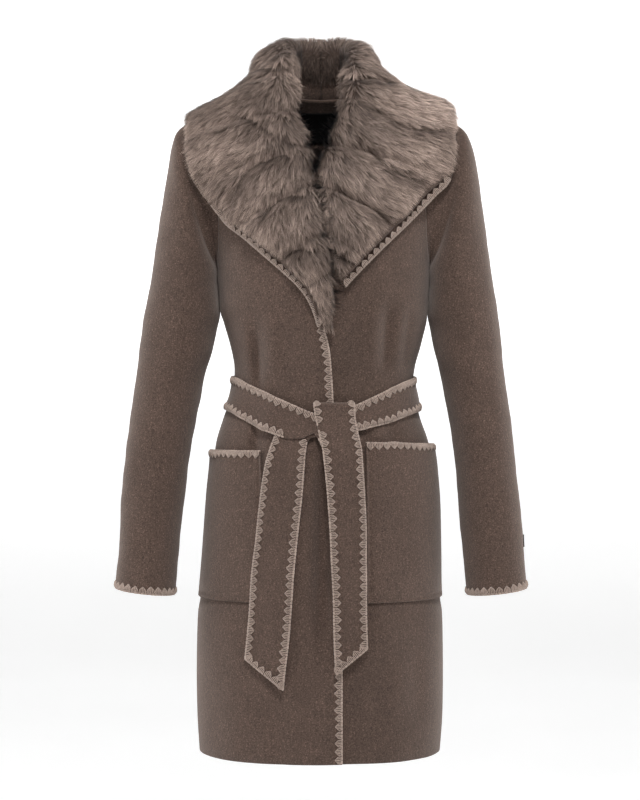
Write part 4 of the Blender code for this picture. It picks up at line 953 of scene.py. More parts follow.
class Shader(Nodes):
    """The nodes of one material round a principled surface."""

    def __init__(self, name):
        self.material = bpy.data.materials.new(name)
        self.material.use_nodes = True
        super().__init__(self.material.node_tree)
        self.tree.nodes.clear()
        self.surface = self.add("ShaderNodeBsdfPrincipled")
        self.add("ShaderNodeOutputMaterial", {"Surface": self.surface.outputs["BSDF"]})

    def place(self):
        return self.add("ShaderNodeTexCoord").outputs["Object"]

    def stored(self, name, output="Fac"):
        return self.add("ShaderNodeAttribute", attribute_name=name).outputs[output]

    def noise(self, where, scale, detail=2.0):
        feeds = {"Vector": where, "Scale": scale, "Detail": detail, "Roughness": 0.6}
        return self.add("ShaderNodeTexNoise", feeds).outputs["Fac"]

    def colours(self, fac, stops):
        """Colour ramp with stops (place, colour)."""
        node = self.add("ShaderNodeValToRGB", {"Fac": fac})
        elements = node.color_ramp.elements
        while len(elements) < len(stops):
            elements.new(0.5)
        for element, (place, colour) in zip(elements, stops):
            element.position = place
            element.color = (*colour, 1.0)
        return node.outputs["Color"]

    def greys(self, fac, low, high):
        """Grey ramp between two stops (place, grey)."""
        return self.colours(fac, [(place, grey(level)) for place, level in (low, high)])

    def multiplied(self, a, b, amount=1.0):
        """Product of two colours, taken in by amount."""
        node = self.add("ShaderNodeMix", {0: amount, 6: a, 7: b}, data_type="RGBA",
                        blend_type="MULTIPLY")
        return node.outputs[2]

    def bump(self, height, strength, distance, normal=None):
        feeds = {"Strength": strength, "Distance": distance, "Height": height}
        if normal is not None:
            feeds["Normal"] = normal
        return self.add("ShaderNodeBump", feeds).outputs["Normal"]

    def finished(self, **values):
        """The material, once the surface's inputs are fed, with underscores for spaces."""
        for name, value in values.items():
            self.feed(self.surface.inputs[name.replace("_", " ")], value)
        return self.material


def scaled(colour, share):
    """Lighter or darker colour, at most 1."""
    return tuple(min(1.0, c * share) for c in colour)


def grey(level):
    """Colour with three equal parts."""
    return (level, level, level)


def wool_material(name, colour, settings):
    """Brushed wool: fine heathered fibres, soft mottling and a felted nap."""
    s = Shader(name)
    where = s.place()
    stretch = s.add("ShaderNodeMapping", {"Vector": where, "Scale": (1.0, 1.0, 0.22)})
    hair = s.noise(stretch.outputs["Vector"], settings.fleck_scale * 0.8)
    heather = s.colours(s.noise(where, settings.fleck_scale, 3.0),
                        [(0.28, scaled(colour, 0.40)), (0.45, scaled(colour, 0.85)),
                         (0.58, scaled(colour, 1.20)), (0.74, scaled(colour, 2.60))])
    shown = s.multiplied(heather, s.greys(hair, (0.33, 0.72), (0.66, 1.0)), 0.7)
    cloud = s.greys(s.noise(where, 38.0, 3.0), (0.32, 0.84), (0.68, 1.0))
    wide = s.greys(s.noise(where, 9.0), (0.35, 0.90), (0.65, 1.0))
    shown = s.multiplied(s.multiplied(shown, cloud, 0.8), wide, 0.8)
    felt = s.bump(s.noise(where, 260.0, 3.0), settings.nap, 0.0012)
    return s.finished(Base_Color=shown, Normal=s.bump(hair, settings.nap, 0.0007, felt),
                      Roughness=0.92, Specular_IOR_Level=0.18, Sheen_Weight=settings.sheen,
                      Sheen_Roughness=0.55, Sheen_Tint=(0.78, 0.68, 0.62, 1.0))


def fur_skin_material(name, settings):
    """Dark undercoat below the hairs."""
    s = Shader(name)
    where = s.place()
    colour = s.colours(s.noise(where, 420.0, 3.0),
                       [(0.32, scaled(settings.root, 0.7)), (0.68, scaled(settings.root, 1.4))])
    return s.finished(Base_Color=colour, Normal=s.bump(s.noise(where, 300.0), 0.6, 0.001),
                      Roughness=0.9, Specular_IOR_Level=0.1, Sheen_Weight=0.1)


def fur_hair_material(name, settings):
    """Hair, dark at its root and light at its tip, shaded softly with the form below it."""
    s = Shader(name)
    colour = s.colours(s.stored("along"),
                       [(0.0, settings.root), (0.42, settings.middle), (1.0, settings.tip)])
    paler = s.colours(s.stored("tone"), [(0.0, (0.40, 0.38, 0.36)), (0.5, (0.91, 0.89, 0.88)),
                                         (1.0, grey(1.50))])
    # the shade attribute carries painted shadow and painted light: darker under the grooves and in the
    # neck, lighter above 1
    deep = s.colours(s.value("MULTIPLY", s.stored("shade"), 0.5),
                     [(0.0, (0.12, 0.10, 0.09)), (0.5, grey(1.0)), (0.9, (1.55, 1.58, 1.62))])
    own = s.add("ShaderNodeNewGeometry").outputs["Normal"]
    blend = s.add("ShaderNodeMix", {0: 0.72, 4: own, 5: s.stored("outward", "Vector")},
                  data_type="VECTOR")
    level = s.add("ShaderNodeVectorMath", {0: blend.outputs[1]}, operation="NORMALIZE")
    return s.finished(Base_Color=s.multiplied(s.multiplied(colour, paler), deep),
                      Normal=level.outputs[0], Roughness=0.62, Specular_IOR_Level=0.25,
                      Sheen_Weight=0.15)


def yarn_material(name, colour):
    """Twisted yarn with a little fuzz."""
    s = Shader(name)
    where = s.place()
    fibre = s.noise(where, 900.0)
    twist = s.colours(fibre, [(0.30, scaled(colour, 0.68)), (0.55, colour),
                              (0.75, scaled(colour, 1.25))])
    wide = s.greys(s.noise(where, 60.0), (0.3, 0.82), (0.7, 1.0))
    return s.finished(Base_Color=s.multiplied(twist, wide, 0.8), Normal=s.bump(fibre, 0.5, 0.0005),
                      Roughness=0.85, Sheen_Weight=0.25, Specular_IOR_Level=0.2)


def woven_material(name, colour):
    """Dense plain-woven band."""
    s = Shader(name)
    where = s.place()
    warp, weft = (s.add("ShaderNodeTexWave", {"Vector": where, "Scale": scale, "Distortion": 0.6,
                                              "Detail": 1.0}, bands_direction=way).outputs["Fac"]
                  for way, scale in (("X", 220.0), ("Z", 260.0)))
    weave = s.value("MULTIPLY", warp, weft)
    shown = s.colours(weave, [(0.0, scaled(colour, 0.6)), (0.6, scaled(colour, 1.6))])
    return s.finished(Base_Color=shown, Normal=s.bump(weave, 0.5, 0.0003), Roughness=0.8,
                      Sheen_Weight=0.0, Specular_IOR_Level=0.08)


def linked(name, data):
    """New object of a mesh, lamp or camera, in the scene."""
    obj = bpy.data.objects.new(name, data)
    bpy.context.scene.collection.objects.link(obj)
    return obj


def mesh_object(name, points, quads, material):
    """New smooth mesh object from arrays of points and four-sided faces."""
    mesh = bpy.data.meshes.new(name)
    points = np.asarray(points, np.float32)
    quads = np.asarray(quads, np.int32)
    mesh.vertices.add(len(points))
    mesh.vertices.foreach_set("co", points.ravel())
    mesh.loops.add(quads.size)
    mesh.loops.foreach_set("vertex_index", quads.ravel())
    mesh.polygons.add(len(quads))
    mesh.polygons.foreach_set("loop_start", np.arange(0, quads.size, quads.shape[1], dtype=np.int32))
    mesh.polygons.foreach_set("use_smooth", np.full(len(quads), True))
    mesh.update(calc_edges=True)
    mesh.validate()
    mesh.materials.append(material)
    return linked(name, mesh)


def grid_quads(rows, columns, loop, flip):
    """Faces of a grid of rows by columns, numbered row by row."""
    wide = columns if loop else columns - 1
    a = np.arange(rows - 1)[:, None] * columns + np.arange(wide)[None, :]
    step = (np.arange(wide) + 1) % columns - np.arange(wide)
    b = a + step[None, :]
    quads = np.stack([a, b, b + columns, a + columns], -1).reshape(-1, 4)
    return quads[:, ::-1] if flip else quads


def closed_points(outer, inner, loop, round_sides):
    """Points and faces of a closed cloth shell between two grids.

    round_sides tells for the first row, last row, first column and last column whether the cloth's
    edge is free and so gets a rounded rim; the others are flat walls."""
    rows, columns = outer.shape[:2]
    size = rows * columns
    facing = np.cross(slopes(outer, 0), slopes(outer, 1, loop))
    flip = float((facing * (outer - inner)).sum()) > 0
    number = np.arange(size).reshape(rows, columns)
    first, last, left, right = [float(side) for side in round_sides]
    if loop:
        rims = [(number[0], number[1], np.full(columns, first)),
                (number[-1][::-1], number[-2][::-1], np.full(columns, last))]
    else:
        line = np.r_[number[0, :-1], number[:-1, -1], number[-1, :0:-1], number[:0:-1, 0]]
        near = np.r_[number[1, :-1], number[:-1, -2], number[-2, :0:-1], number[:0:-1, 1]]
        free = np.r_[np.full(columns - 1, first), np.full(rows - 1, right),
                     np.full(columns - 1, last), np.full(rows - 1, left)]
        corners = np.cumsum([0, columns - 1, rows - 1, columns - 1])
        for at, inside_at, pair in zip(corners, (number[1, 1], number[1, -2], number[-2, -2],
                                                 number[-2, 1]),
                                       ((first, left), (first, right), (last, right), (last, left))):
            near[at] = inside_at
            free[at] = min(pair)
        rims = [(line, near, free)]
    both = np.concatenate([outer.reshape(-1, 3), inner.reshape(-1, 3)])
    points, faces, count = [both], [grid_quads(rows, columns, loop, flip),
                                    grid_quads(rows, columns, loop, not flip) + size], 2 * size
    for line, near, free in rims:
        a, b = both[line], both[line + size]
        middle = 0.5 * (a + b)
        away = unit(middle - 0.5 * (both[near] + both[near + size]))
        thick = np.linalg.norm(a - b, axis=1)
        points.append(middle + away * (0.42 * free * thick)[:, None])
        rim = count + np.arange(len(line))
        count += len(line)
        for top, low in ((line, rim), (rim, line + size)):
            quads = np.stack([np.roll(top, -1), top, low, np.roll(low, -1)], -1)
            faces.append(quads[:, ::-1] if flip else quads)
    return np.concatenate(points), np.concatenate(faces)


def cloth_object(name, outer, inner, material, loop=False, round_sides=(0, 0, 0, 0)):
    points, faces = closed_points(outer, inner, loop, round_sides)
    return mesh_object(name, points, faces, material)


def grid_size(grid, loop=False):
    """Middle width and length of a grid and its area, in metres."""
    wrap = np.concatenate([grid, grid[:, :1]], 1) if loop else grid
    across = np.linalg.norm(np.diff(wrap, axis=1), axis=-1).sum(1)
    length = np.linalg.norm(np.diff(grid, axis=0), axis=-1).sum(0)
    a = wrap[1:, :-1] - wrap[:-1, :-1]
    b = wrap[:-1, 1:] - wrap[:-1, :-1]
    area = np.linalg.norm(np.cross(a, b), axis=-1).sum()
    return float(across.max()), float(length.max()), float(area)


def declare(obj, node, outer, loop=False):
    """Hangs one cloth piece on the root body and hides the solid it stands for."""
    across, length, area = grid_size(outer, loop)
    area = min(area, across * length)
    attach(obj, "root")
    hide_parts(node)


def scratch_object(name, mesh_points, attributes):
    """Loose points that carry vectors, for Geometry Nodes to set pieces on."""
    mesh = bpy.data.meshes.new(name)
    mesh.vertices.add(len(mesh_points))
    mesh.vertices.foreach_set("co", np.asarray(mesh_points, np.float32).ravel())
    add_attributes(mesh, attributes)
    mesh.update()
    return linked(name, mesh)


def add_attributes(mesh, attributes):
    """Stores float or vector values on the points of a mesh."""
    for name, values in attributes.items():
        values = np.asarray(values, np.float32)
        kind = "FLOAT_VECTOR" if values.ndim == 2 else "FLOAT"
        layer = mesh.attributes.new(name, kind, "POINT")
        layer.data.foreach_set("vector" if values.ndim == 2 else "value", values.ravel())


class GeometryTree(Nodes):
    """Geometry Nodes tree with a geometry and named values going in and a geometry coming out."""

    def __init__(self, name, **values):
        super().__init__(bpy.data.node_groups.new(name, "GeometryNodeTree"))
        new_socket = self.tree.interface.new_socket
        for title, kind in {"Geometry": "Geometry", **values}.items():
            new_socket(title, in_out="INPUT", socket_type="NodeSocket" + kind)
        new_socket("Geometry", in_out="OUTPUT", socket_type="NodeSocketGeometry")
        self.start = self.add("NodeGroupInput").outputs

    def stored(self, name, kind="FLOAT_VECTOR"):
        node = self.add("GeometryNodeInputNamedAttribute", {"Name": name}, data_type=kind)
        return node.outputs["Attribute"]

    def turned(self, first, second, axes):
        """Rotation that points one axis along a stored vector and a second one near another."""
        feeds = {0: self.stored(first), 1: self.stored(second)}
        return self.add("FunctionNodeAxesToRotation", feeds, primary_axis=axes[0],
                        secondary_axis=axes[1]).outputs[0]

    def chance(self, kind, low, high, shift=0.0):
        """Random value between two others, drawn by the tree's seed and a shift of it."""
        seed = self.start["Seed"]
        if shift:
            seed = self.value("ADD", seed, shift)
        a, b, out = {"FLOAT": (2, 3, 1), "INT": (4, 5, 2), "FLOAT_VECTOR": (0, 1, 0)}[kind]
        feeds = {a: low, b: high, "Seed": seed}
        return self.add("FunctionNodeRandomValue", feeds, data_type=kind).outputs[out]

    def set_on(self, feeds):
        """Sets instances on points, makes them real and painted, and gives the whole tree."""
        place = self.add("GeometryNodeInstanceOnPoints", feeds)
        real = self.add("GeometryNodeRealizeInstances", {0: place.outputs["Instances"]})
        paint = self.add("GeometryNodeSetMaterial", {"Geometry": real.outputs[0],
                                                     "Material": self.start["Material"]})
        self.add("NodeGroupOutput", {0: paint.outputs[0]})
        return self.tree


def run_tree(obj, tree, values):
    """Evaluates the tree on an object and returns a plain mesh object made from the result."""
    modifier = obj.modifiers.new("build", "NODES")
    modifier.node_group = tree
    for item in tree.interface.items_tree:
        if item.item_type == "SOCKET" and item.in_out == "INPUT" and item.name in values:
            modifier[item.identifier] = values[item.name]
    bpy.context.view_layer.update()
    graph = bpy.context.evaluated_depsgraph_get()
    mesh = bpy.data.meshes.new_from_object(obj.evaluated_get(graph), depsgraph=graph)
    result = linked(obj.name + "_made", mesh)
    obj.modifiers.remove(modifier)
    bpy.data.objects.remove(obj, do_unlink=True)
    return result


def motif_tree():
    """Sets one shape on each point, turned by the inward and away vectors stored there."""
    g = GeometryTree("edging", Shape="Object", Seed="Int", Material="Material")
    shape = g.add("GeometryNodeObjectInfo", {"Object": g.start["Shape"]})
    return g.set_on({"Points": g.start["Geometry"], "Instance": shape.outputs["Geometry"],
                     "Rotation": g.turned("away", "inward", "ZY"),
                     "Scale": g.chance("FLOAT", 0.90, 1.08)})


def hair_tree():
    """Scatters tufts over a form, combed along its flow vectors."""
    g = GeometryTree("hair", Tufts="Collection", Kinds="Int", Density="Float", Seed="Int",
                     Material="Material")
    density = g.value("MULTIPLY", g.start["Density"], g.stored("full", "FLOAT"))
    scatter = g.add("GeometryNodeDistributePointsOnFaces", {
        "Mesh": g.start["Geometry"], "Density": density, "Seed": g.start["Seed"]},
        distribute_method="RANDOM")
    sway = g.chance("FLOAT_VECTOR", (-0.15, -0.12, -0.15), (0.15, 0.10, 0.15), 11.0)
    to_turn = g.add("FunctionNodeEulerToRotation", {0: sway})
    lean = g.add("FunctionNodeRotateRotation", {
        0: g.turned("outward", "flow", "ZX"), 1: to_turn.outputs[0]}, rotation_space="LOCAL")
    tufts = g.add("GeometryNodeCollectionInfo", {
        "Collection": g.start["Tufts"], "Separate Children": True, "Reset Children": True})
    kind = g.chance("INT", 0, g.start["Kinds"], 23.0)
    grow = g.chance("FLOAT", 0.80, 1.12, 37.0)
    size = g.value("MULTIPLY", grow, g.stored("long", "FLOAT"))
    own_tone = g.chance("FLOAT", 0.08, 0.92, 51.0)
    lock = g.add("ShaderNodeTexNoise", {"Scale": 190.0, "Detail": 1.0})
    about = g.add("ShaderNodeMapRange", {0: lock.outputs["Fac"], 1: 0.30, 2: 0.70, 3: -0.20, 4: 0.20})
    tone = g.value("ADD", own_tone, about.outputs[0], use_clamp=True)
    toned = g.add("GeometryNodeStoreNamedAttribute", {
        "Geometry": scatter.outputs["Points"], "Name": "tone", "Value": tone}, data_type="FLOAT",
        domain="POINT")
    return g.set_on({"Points": toned.outputs[0], "Instance": tufts.outputs[0],
                     "Pick Instance": True, "Instance Index": kind, "Rotation": lean.outputs[0],
                     "Scale": size})


def tuft_objects(count, hairs, settings):
    """A few tufts of tapered hairs, one unit long along X, bending down at their tips."""
    rng = np.random.default_rng(7)
    group = bpy.data.collections.new("tufts")
    for kind in range(count):
        points, faces, along = [], [], []
        lean_y = rng.uniform(-0.12, 0.12)
        for _ in range(hairs):
            root = np.array([rng.uniform(-0.10, 0.10), rng.normal(0, 0.085), -0.02])
            tip = np.array([rng.uniform(0.78, 1.06), rng.normal(lean_y, 0.045), 0.0])
            lift = rng.uniform(0.20, 0.40)
            wide = settings.hair_width / settings.hair_length * rng.uniform(0.8, 1.25)
            side = unit(np.array([0.0, 1.0, rng.uniform(-0.5, 0.5)]))
            curl = rng.normal(0, 0.03)
            line = []
            for t in (0.0, 0.5, 1.0):
                p = root + (tip - root) * t
                p[2] += lift * (1.55 * t - 1.0 * t * t)
                p[1] += curl * 4 * t * (1 - t)
                line.append(p)
            light = rng.uniform(0.55, 1.0)
            first = len(points)
            points += [line[0] - side * wide, line[0] + side * wide,
                       line[1] - side * wide * 0.8, line[1] + side * wide * 0.8, line[2]]
            along += [0.0, 0.0, 0.5 * light, 0.5 * light, light]
            faces += [(first, first + 1, first + 3, first + 2), (first + 2, first + 3, first + 4)]
        mesh = bpy.data.meshes.new("tuft_%d" % kind)
        mesh.from_pydata([tuple(p) for p in points], [], faces)
        add_attributes(mesh, {"along": along})
        for polygon in mesh.polygons:
            polygon.use_smooth = True
        group.objects.link(bpy.data.objects.new("tuft_%d" % kind, mesh))
    bpy.context.scene.collection.children.link(group)
    return group


def drop_group(group):
    for obj in list(group.objects):
        bpy.data.objects.remove(obj, do_unlink=True)
    bpy.data.collections.remove(group)


def tube(points, radius, sides):
    """Points and faces of a thin closed tube through a few points, tapered by radius."""
    points = np.asarray(points, float)
    radius = np.asarray(radius, float)
    way = unit(np.gradient(points, axis=0))
    side = unit(np.cross(way, [0.0, 0.0, 1.0]) + 1e-9)
    top = np.cross(side, way)
    angle = 2 * np.pi * np.arange(sides) / sides + np.pi / 4
    rings = (points[:, None] + radius[:, None, None]
             * (np.cos(angle)[None, :, None] * side[:, None] + np.sin(angle)[None, :, None]
                * top[:, None]))
    faces = grid_quads(len(points), sides, True, False)
    flat = rings.reshape(-1, 3)
    ends = (tuple(range(sides))[::-1], tuple(range(len(flat) - sides, len(flat))))
    return flat, [tuple(f) for f in faces] + list(ends)


def shape_object(name, parts):
    """One small mesh from several tubes."""
    points, faces, first = [], [], 0
    for p, f in parts:
        points += [tuple(x) for x in p]
        faces += [tuple(i + first for i in face) for face in f]
        first += len(p)
    mesh = bpy.data.meshes.new(name)
    mesh.from_pydata(points, [], faces)
    for polygon in mesh.polygons:
        polygon.use_smooth = True
    return linked(name, mesh)


def fan_shape(settings):
    """Petal of yarns: its foot on the cloth's edge, its point inward along Y, standing out along Z."""
    high, half, thick = settings.fan_height, 0.5 * settings.fan_width, settings.yarn
    parts = []
    for share in (-1.0, -0.5, 0.0, 0.5, 1.0):
        reach = high * (1 - 0.20 * share * share)
        foot = np.array([share * half * 0.78, 0.0006, 0.0002])
        tip = np.array([share * half * 0.40, reach, 0.0002])
        rise = 0.0013 + 0.0004 * (1 - abs(share))
        low = np.array([share * half * 0.98, 0.36 * reach, rise])
        top = np.array([share * half * 0.84, 0.72 * reach, 0.8 * rise])
        parts.append(tube([foot, low, top, tip], [thick, thick * 1.2, thick * 1.1, thick * 0.8], 4))
    return shape_object("fan", parts)


def link_shape(settings):
    """One link of the chained yarn that runs along the cloth's edge."""
    long, thick = 0.62 * settings.link_pitch, settings.edge_radius
    line = [(-long, 0.0, 0.0), (-0.5 * long, 0.0001, 0.0002), (0.1 * long, 0.0002, 0.0004),
            (0.7 * long, 0.0, 0.0001), (1.02 * long, 0.0, -0.0003)]
    radius = [thick * 0.45, thick, thick * 1.08, thick * 0.8, thick * 0.35]
    return shape_object("link", [tube(line, radius, 6)])


def edge_line(outer, inner, line, near, pitch):
    """Points every pitch along a cloth edge with their inward and away vectors.

    line and near pick the edge and the row or column next to it from the outer grid."""
    edge, other, below = outer[line], outer[near], inner[line]
    step = np.r_[0, np.cumsum(np.linalg.norm(np.diff(edge, axis=0), axis=1))]
    count = max(2, int(round(step[-1] / pitch)))
    where = (np.arange(count) + 0.5) * step[-1] / count

    def read(values):
        return np.stack([np.interp(where, step, values[:, k]) for k in range(3)], -1)

    place, away, inward = read(edge), unit(read(unit(edge - below))), unit(read(unit(other - edge)))
    along = unit(read(np.gradient(edge, axis=0)))
    inward = unit(inward - dots(inward, along)[:, None] * along)
    away = unit(away - dots(away, inward)[:, None] * inward)
    return place, read(0.5 * (edge + below)), inward, away


def joined(parts):
    return [np.concatenate(values) for values in zip(*parts)]


def way_at(points, table):
    """Direction of the hair seen from the front at points, blended from the nearest rows."""
    gap = np.hypot(points[..., None, 0] - table[:, 0], points[..., None, 2] - table[:, 1])
    weight = 1.0 / (gap + 0.004) ** 3
    angle = np.radians(table[:, 2])
    x = (weight * np.cos(angle)).sum(-1)
    z = -(weight * np.sin(angle)).sum(-1)
    return unit(np.stack([x, 0 * x, z], -1))


def beside(points, line):
    """Distance seen from the front to a groove, above 0 below it, and how much of it is there."""
    line = np.asarray(line) / 1000
    p = points[..., [0, 2]]
    best = np.full(p.shape[:-1], 1.0)
    sign = np.ones_like(best)
    there = np.zeros_like(best)
    lengths = np.linalg.norm(np.diff(line, axis=0), axis=1)
    total, done = lengths.sum(), 0.0
    for (a, b), length in zip(zip(line[:-1], line[1:]), lengths):
        t = np.clip(((p - a) @ (b - a)) / length ** 2, 0.0, 1.0)
        off = p - (a + t[..., None] * (b - a))
        gap = np.linalg.norm(off, axis=-1)
        closer = gap < best
        below = off[..., 1] * abs(b[0] - a[0]) - off[..., 0] * (b[1] - a[1]) * np.sign(b[0] - a[0])
        sign = np.where(closer, np.where(below < 0, 1.0, -1.0), sign)
        share = (done + t * length) / total
        there = np.where(closer, ramp(share, 0.0, 0.22) * (1 - 0.6 * ramp(share, 0.85, 1.0)), there)
        best = np.minimum(best, gap)
        done += length
    return best * sign, there


def strips(points, lines, front, strong):
    """Height of puffed strips, each hanging over the groove below it, and the painted shade below each
    groove.
    """
    high, light = np.ones(points.shape[:-1]), np.ones(points.shape[:-1])
    for line in lines:
        gap, there = beside(points, line)
        there = there * front
        cut_in = bell(gap / np.where(gap > 0, *GROOVE_CUT))
        high = high * (1 - 0.50 * strong * there * cut_in)
        near = bell(gap / np.where(gap > 0, *GROOVE_SHADE))
        wide = np.where(gap > 0, bell(gap / GROOVE_WIDE), 0.0)
        # painted shadow: darker just under each groove and more softly further down the strip below it
        light = light * np.clip(1 - strong * there * (0.70 * near + 0.34 * wide), 0.05, 1.0)
    return high, light


def tones_and_painted_light(points, table):
    """Gain of the hair's lightness at points seen from the front, the fur's own tone with painted light
    and shade.
    """
    gap = np.hypot(points[..., None, 0] - table[:, 0], points[..., None, 2] - table[:, 1])
    return (table[:, 3] * bell(gap / table[:, 2])).sum(-1)


def finer(values, axis=0):
    """A line or grid with one more value halfway between each two along an axis."""
    values = np.moveaxis(values, axis, 0)
    result = np.empty((2 * len(values) - 1,) + values.shape[1:])
    result[::2] = values
    result[1::2] = 0.5 * (values[:-1] + values[1:])
    return np.moveaxis(result, 0, axis)


def hair_fields(mirror, base, out, rise, place, share, settings):
    """Where hair grows: the skin's points and for each its outward, flow, length and shade."""
    base, out, rise = (finer(finer(v), 1) for v in (base, out, rise))
    place, share = finer(place), finer(share)
    begins, grooves, strong, ways, tone_and_light_table, lightness = FUR_SIDES[mirror]
    edged = ramp(place, begins - 0.5, begins + 0.3)[:, None]
    valley = ramp(place, 6.6, 7.6)[:, None] * (1 - ramp(share, 0.16, 0.44))[None, :]
    crown = (1 - ramp(place, 2.5, 4.5))[:, None] * (1 - ramp(share, 0.50, 0.75))[None, :]
    below = (1 - ramp(place, 5.0, 6.5))[:, None] * (1 - ramp(share, 0.10, 0.20))[None, :]
    fill = settings.skin_share * (1 - 0.22 * crown) + 0.36 * valley
    swell = np.zeros_like(rise)
    for side, at, across_at, reach_at, wide, height in FUR_SWELLS:
        if side == mirror:
            swell = swell + (height * bell((place - at) / reach_at)[:, None]
                             * bell((share - across_at) / wide)[None, :])
    level = np.maximum(fill * rise + swell, LEAST_SKIN)
    skin = base + level[..., None] * out
    front = ramp(-skin[..., 1], -0.030, 0.010)
    # light holds the strips' painted shadow
    high, light = strips(skin, grooves, front, strong)
    skin = base + (level * high)[..., None] * out
    drawn_in = DRAWN_IN * edged * ramp(share, 0.76, 1.0)[None, :]
    inward = drawn_in[..., None] * unit(slopes(skin, 1))
    skin, base = skin - inward, base - inward
    outward = faces_out(skin)
    if (outward * out).sum() < 0:
        outward = -outward
    across = unit(slopes(skin, 1))
    onward = unit(slopes(skin, 0))
    turn = follow(HAIR_TURN[:, 0], HAIR_TURN[:, 1 if mirror > 0 else 2], place)[:, None]
    turn = turn * np.where(place[:, None] < 2, 1.0, ramp(share, 0.2, 0.6)[None, :])
    flow = np.cos(turn)[..., None] * across + np.sin(turn)[..., None] * onward
    flow = unit(flow * (1 - below)[..., None] - across * below[..., None])
    seen = way_at(skin, ways)
    seen = unit(seen - dots(seen, outward)[..., None] * outward)
    facing = front * ramp(-outward[..., 1], -0.05, 0.35)
    flow = unit(flow * (1 - facing)[..., None] + seen * facing[..., None])
    side = np.cross(outward, flow)
    stray = 0.17 * soft_noise(skin, 0.030, 41 + mirror) + 0.15 * soft_noise(skin, 0.012, 51)
    flow = unit(flow * np.cos(stray)[..., None] + side * np.sin(stray)[..., None])
    steps = np.linalg.norm(np.diff(skin, axis=1), axis=-1)
    reach = np.concatenate([np.cumsum(steps[:, ::-1], axis=1)[:, ::-1], np.zeros((len(place), 1))], 1)
    lobes = np.clip((high - 0.60) / 0.40, 0.0, 1.0)
    beyond = settings.overhang * (1 - edged) * (2.2 * lobes - 1.0) - 0.0020 * edged
    toward = np.clip(dots(flow, across), 0.0, 1.0)
    allowed = (reach + beyond) / np.maximum(toward, HAIR_LIE) * (1 - 0.12 * edged)
    allowed = np.where(below > 0.5, NECK_HAIR, allowed)
    inner = (1 - ramp(share, 0.10, 0.42))[None, :] * (1 - ramp(place, 9.0, 12.0))[:, None]
    inner = inner * (1 - valley)
    room = ((1 - fill) * rise * high + 0.0030) / HAIR_LIE
    wanted = np.minimum(settings.hair_length * (1 - 0.42 * inner), room + 0.012 * valley)
    wanted = wanted * (1 + 0.10 * soft_noise(skin, 0.02, 61))
    tail = ramp(place, place[-1] - 1.6, place[-1])[:, None]
    wanted = wanted * (1 - 0.30 * tail) * (1 - 0.25 * crown) * (1 - np.clip(-50 * swell, 0, 0.4))
    long = np.maximum(np.minimum(wanted, allowed), LEAST_HAIR)
    full = ramp(reach + beyond, LEAST_HAIR, 0.0080) * np.ones_like(long)
    # painted shade inside the neck, on the roll's inner side above where the collars close
    neck = (1 - ramp(share, 0.05, 0.36))[None, :] * ramp(skin[..., 2], -0.150, -0.105)
    clump = 0.5 + 0.5 * soft_noise(skin, 0.014, 71)
    patch = 0.5 + 0.5 * soft_noise(skin, 0.035, 81)
    root_side = (1 - ramp(share, 0.34, 0.72))[None, :] * front
    # painted shadow of the grooves and painted shade in the neck, with random clumps and patches of the
    # fur's own tone
    shade = light * (1 - 0.74 * neck) * (1 - 0.26 * clump) * (1 - 0.24 * patch)
    # painted light and shade with the fur's own tone, on the front only
    gain = 1 + front * tones_and_painted_light(skin, tone_and_light_table)
    shade = np.clip(shade * (1 - 0.26 * root_side) * gain * lightness, 0, 1.8)
    return skin, base, outward, flow, long, shade, full


def grow_hair(name, skin, fields, rows, group, tree, material, settings):
    """One piece of hair over some rows of the skin."""
    part = [np.ascontiguousarray(values[rows]) for values in (skin, *fields)]
    points = part[0].reshape(-1, 3)
    quads = grid_quads(part[0].shape[0], part[0].shape[1], False, False)
    emitter = mesh_object(name + "_skin", points, quads, material)
    names = ("outward", "flow", "long", "shade", "full")
    values = {n: (v.reshape(-1, 3) if v.ndim == 3 else v.ravel()) for n, v in zip(names, part[1:])}
    add_attributes(emitter.data, values)
    made_hair = run_tree(emitter, tree, {
        "Tufts": group, "Kinds": len(group.objects) - 1, "Density": settings.density,
        "Seed": settings.seed, "Material": material})
    made_hair.name = name
    return made_hair


def look_at(obj, target):
    way = Vector([a - b for a, b in zip(target, obj.location)])
    obj.rotation_euler = way.to_track_quat("-Z", "Y").to_euler()


def colour_property(name, description, value):
    return FloatVectorProperty(name=name, description=description, default=value, subtype="COLOR",
                               size=3, min=0.0, max=1.0)


def length_property(name, description, value):
    return FloatProperty(name=name, description=description, default=value, subtype="DISTANCE",
                         unit="LENGTH", min=0.0, precision=5)


def number_property(name, description, value, low=0.0, high=10000.0):
    return FloatProperty(name=name, description=description, default=value, min=low, max=high)


class CoatCloth(PropertyGroup):
    colour: colour_property("Colour", "Wool of the outer side", (0.105, 0.068, 0.053))
    # painted shade: a darker copy of the wool for the front that lies under the other
    shaded: colour_property("Lower front", "Wool of the front that lies below", (0.096, 0.062, 0.048))
    black: colour_property("Label", "Woven band in the neck and small tab", (0.0055, 0.0050, 0.0050))
    fleck_scale: number_property("Fleck scale", "Flecks per metre of the heathered wool", 620.0)
    nap: number_property("Nap", "Strength of the brushed surface", 0.45, 0.0, 1.0)
    sheen: number_property("Sheen", "Soft light on the felted fibres", 0.35, 0.0, 1.0)


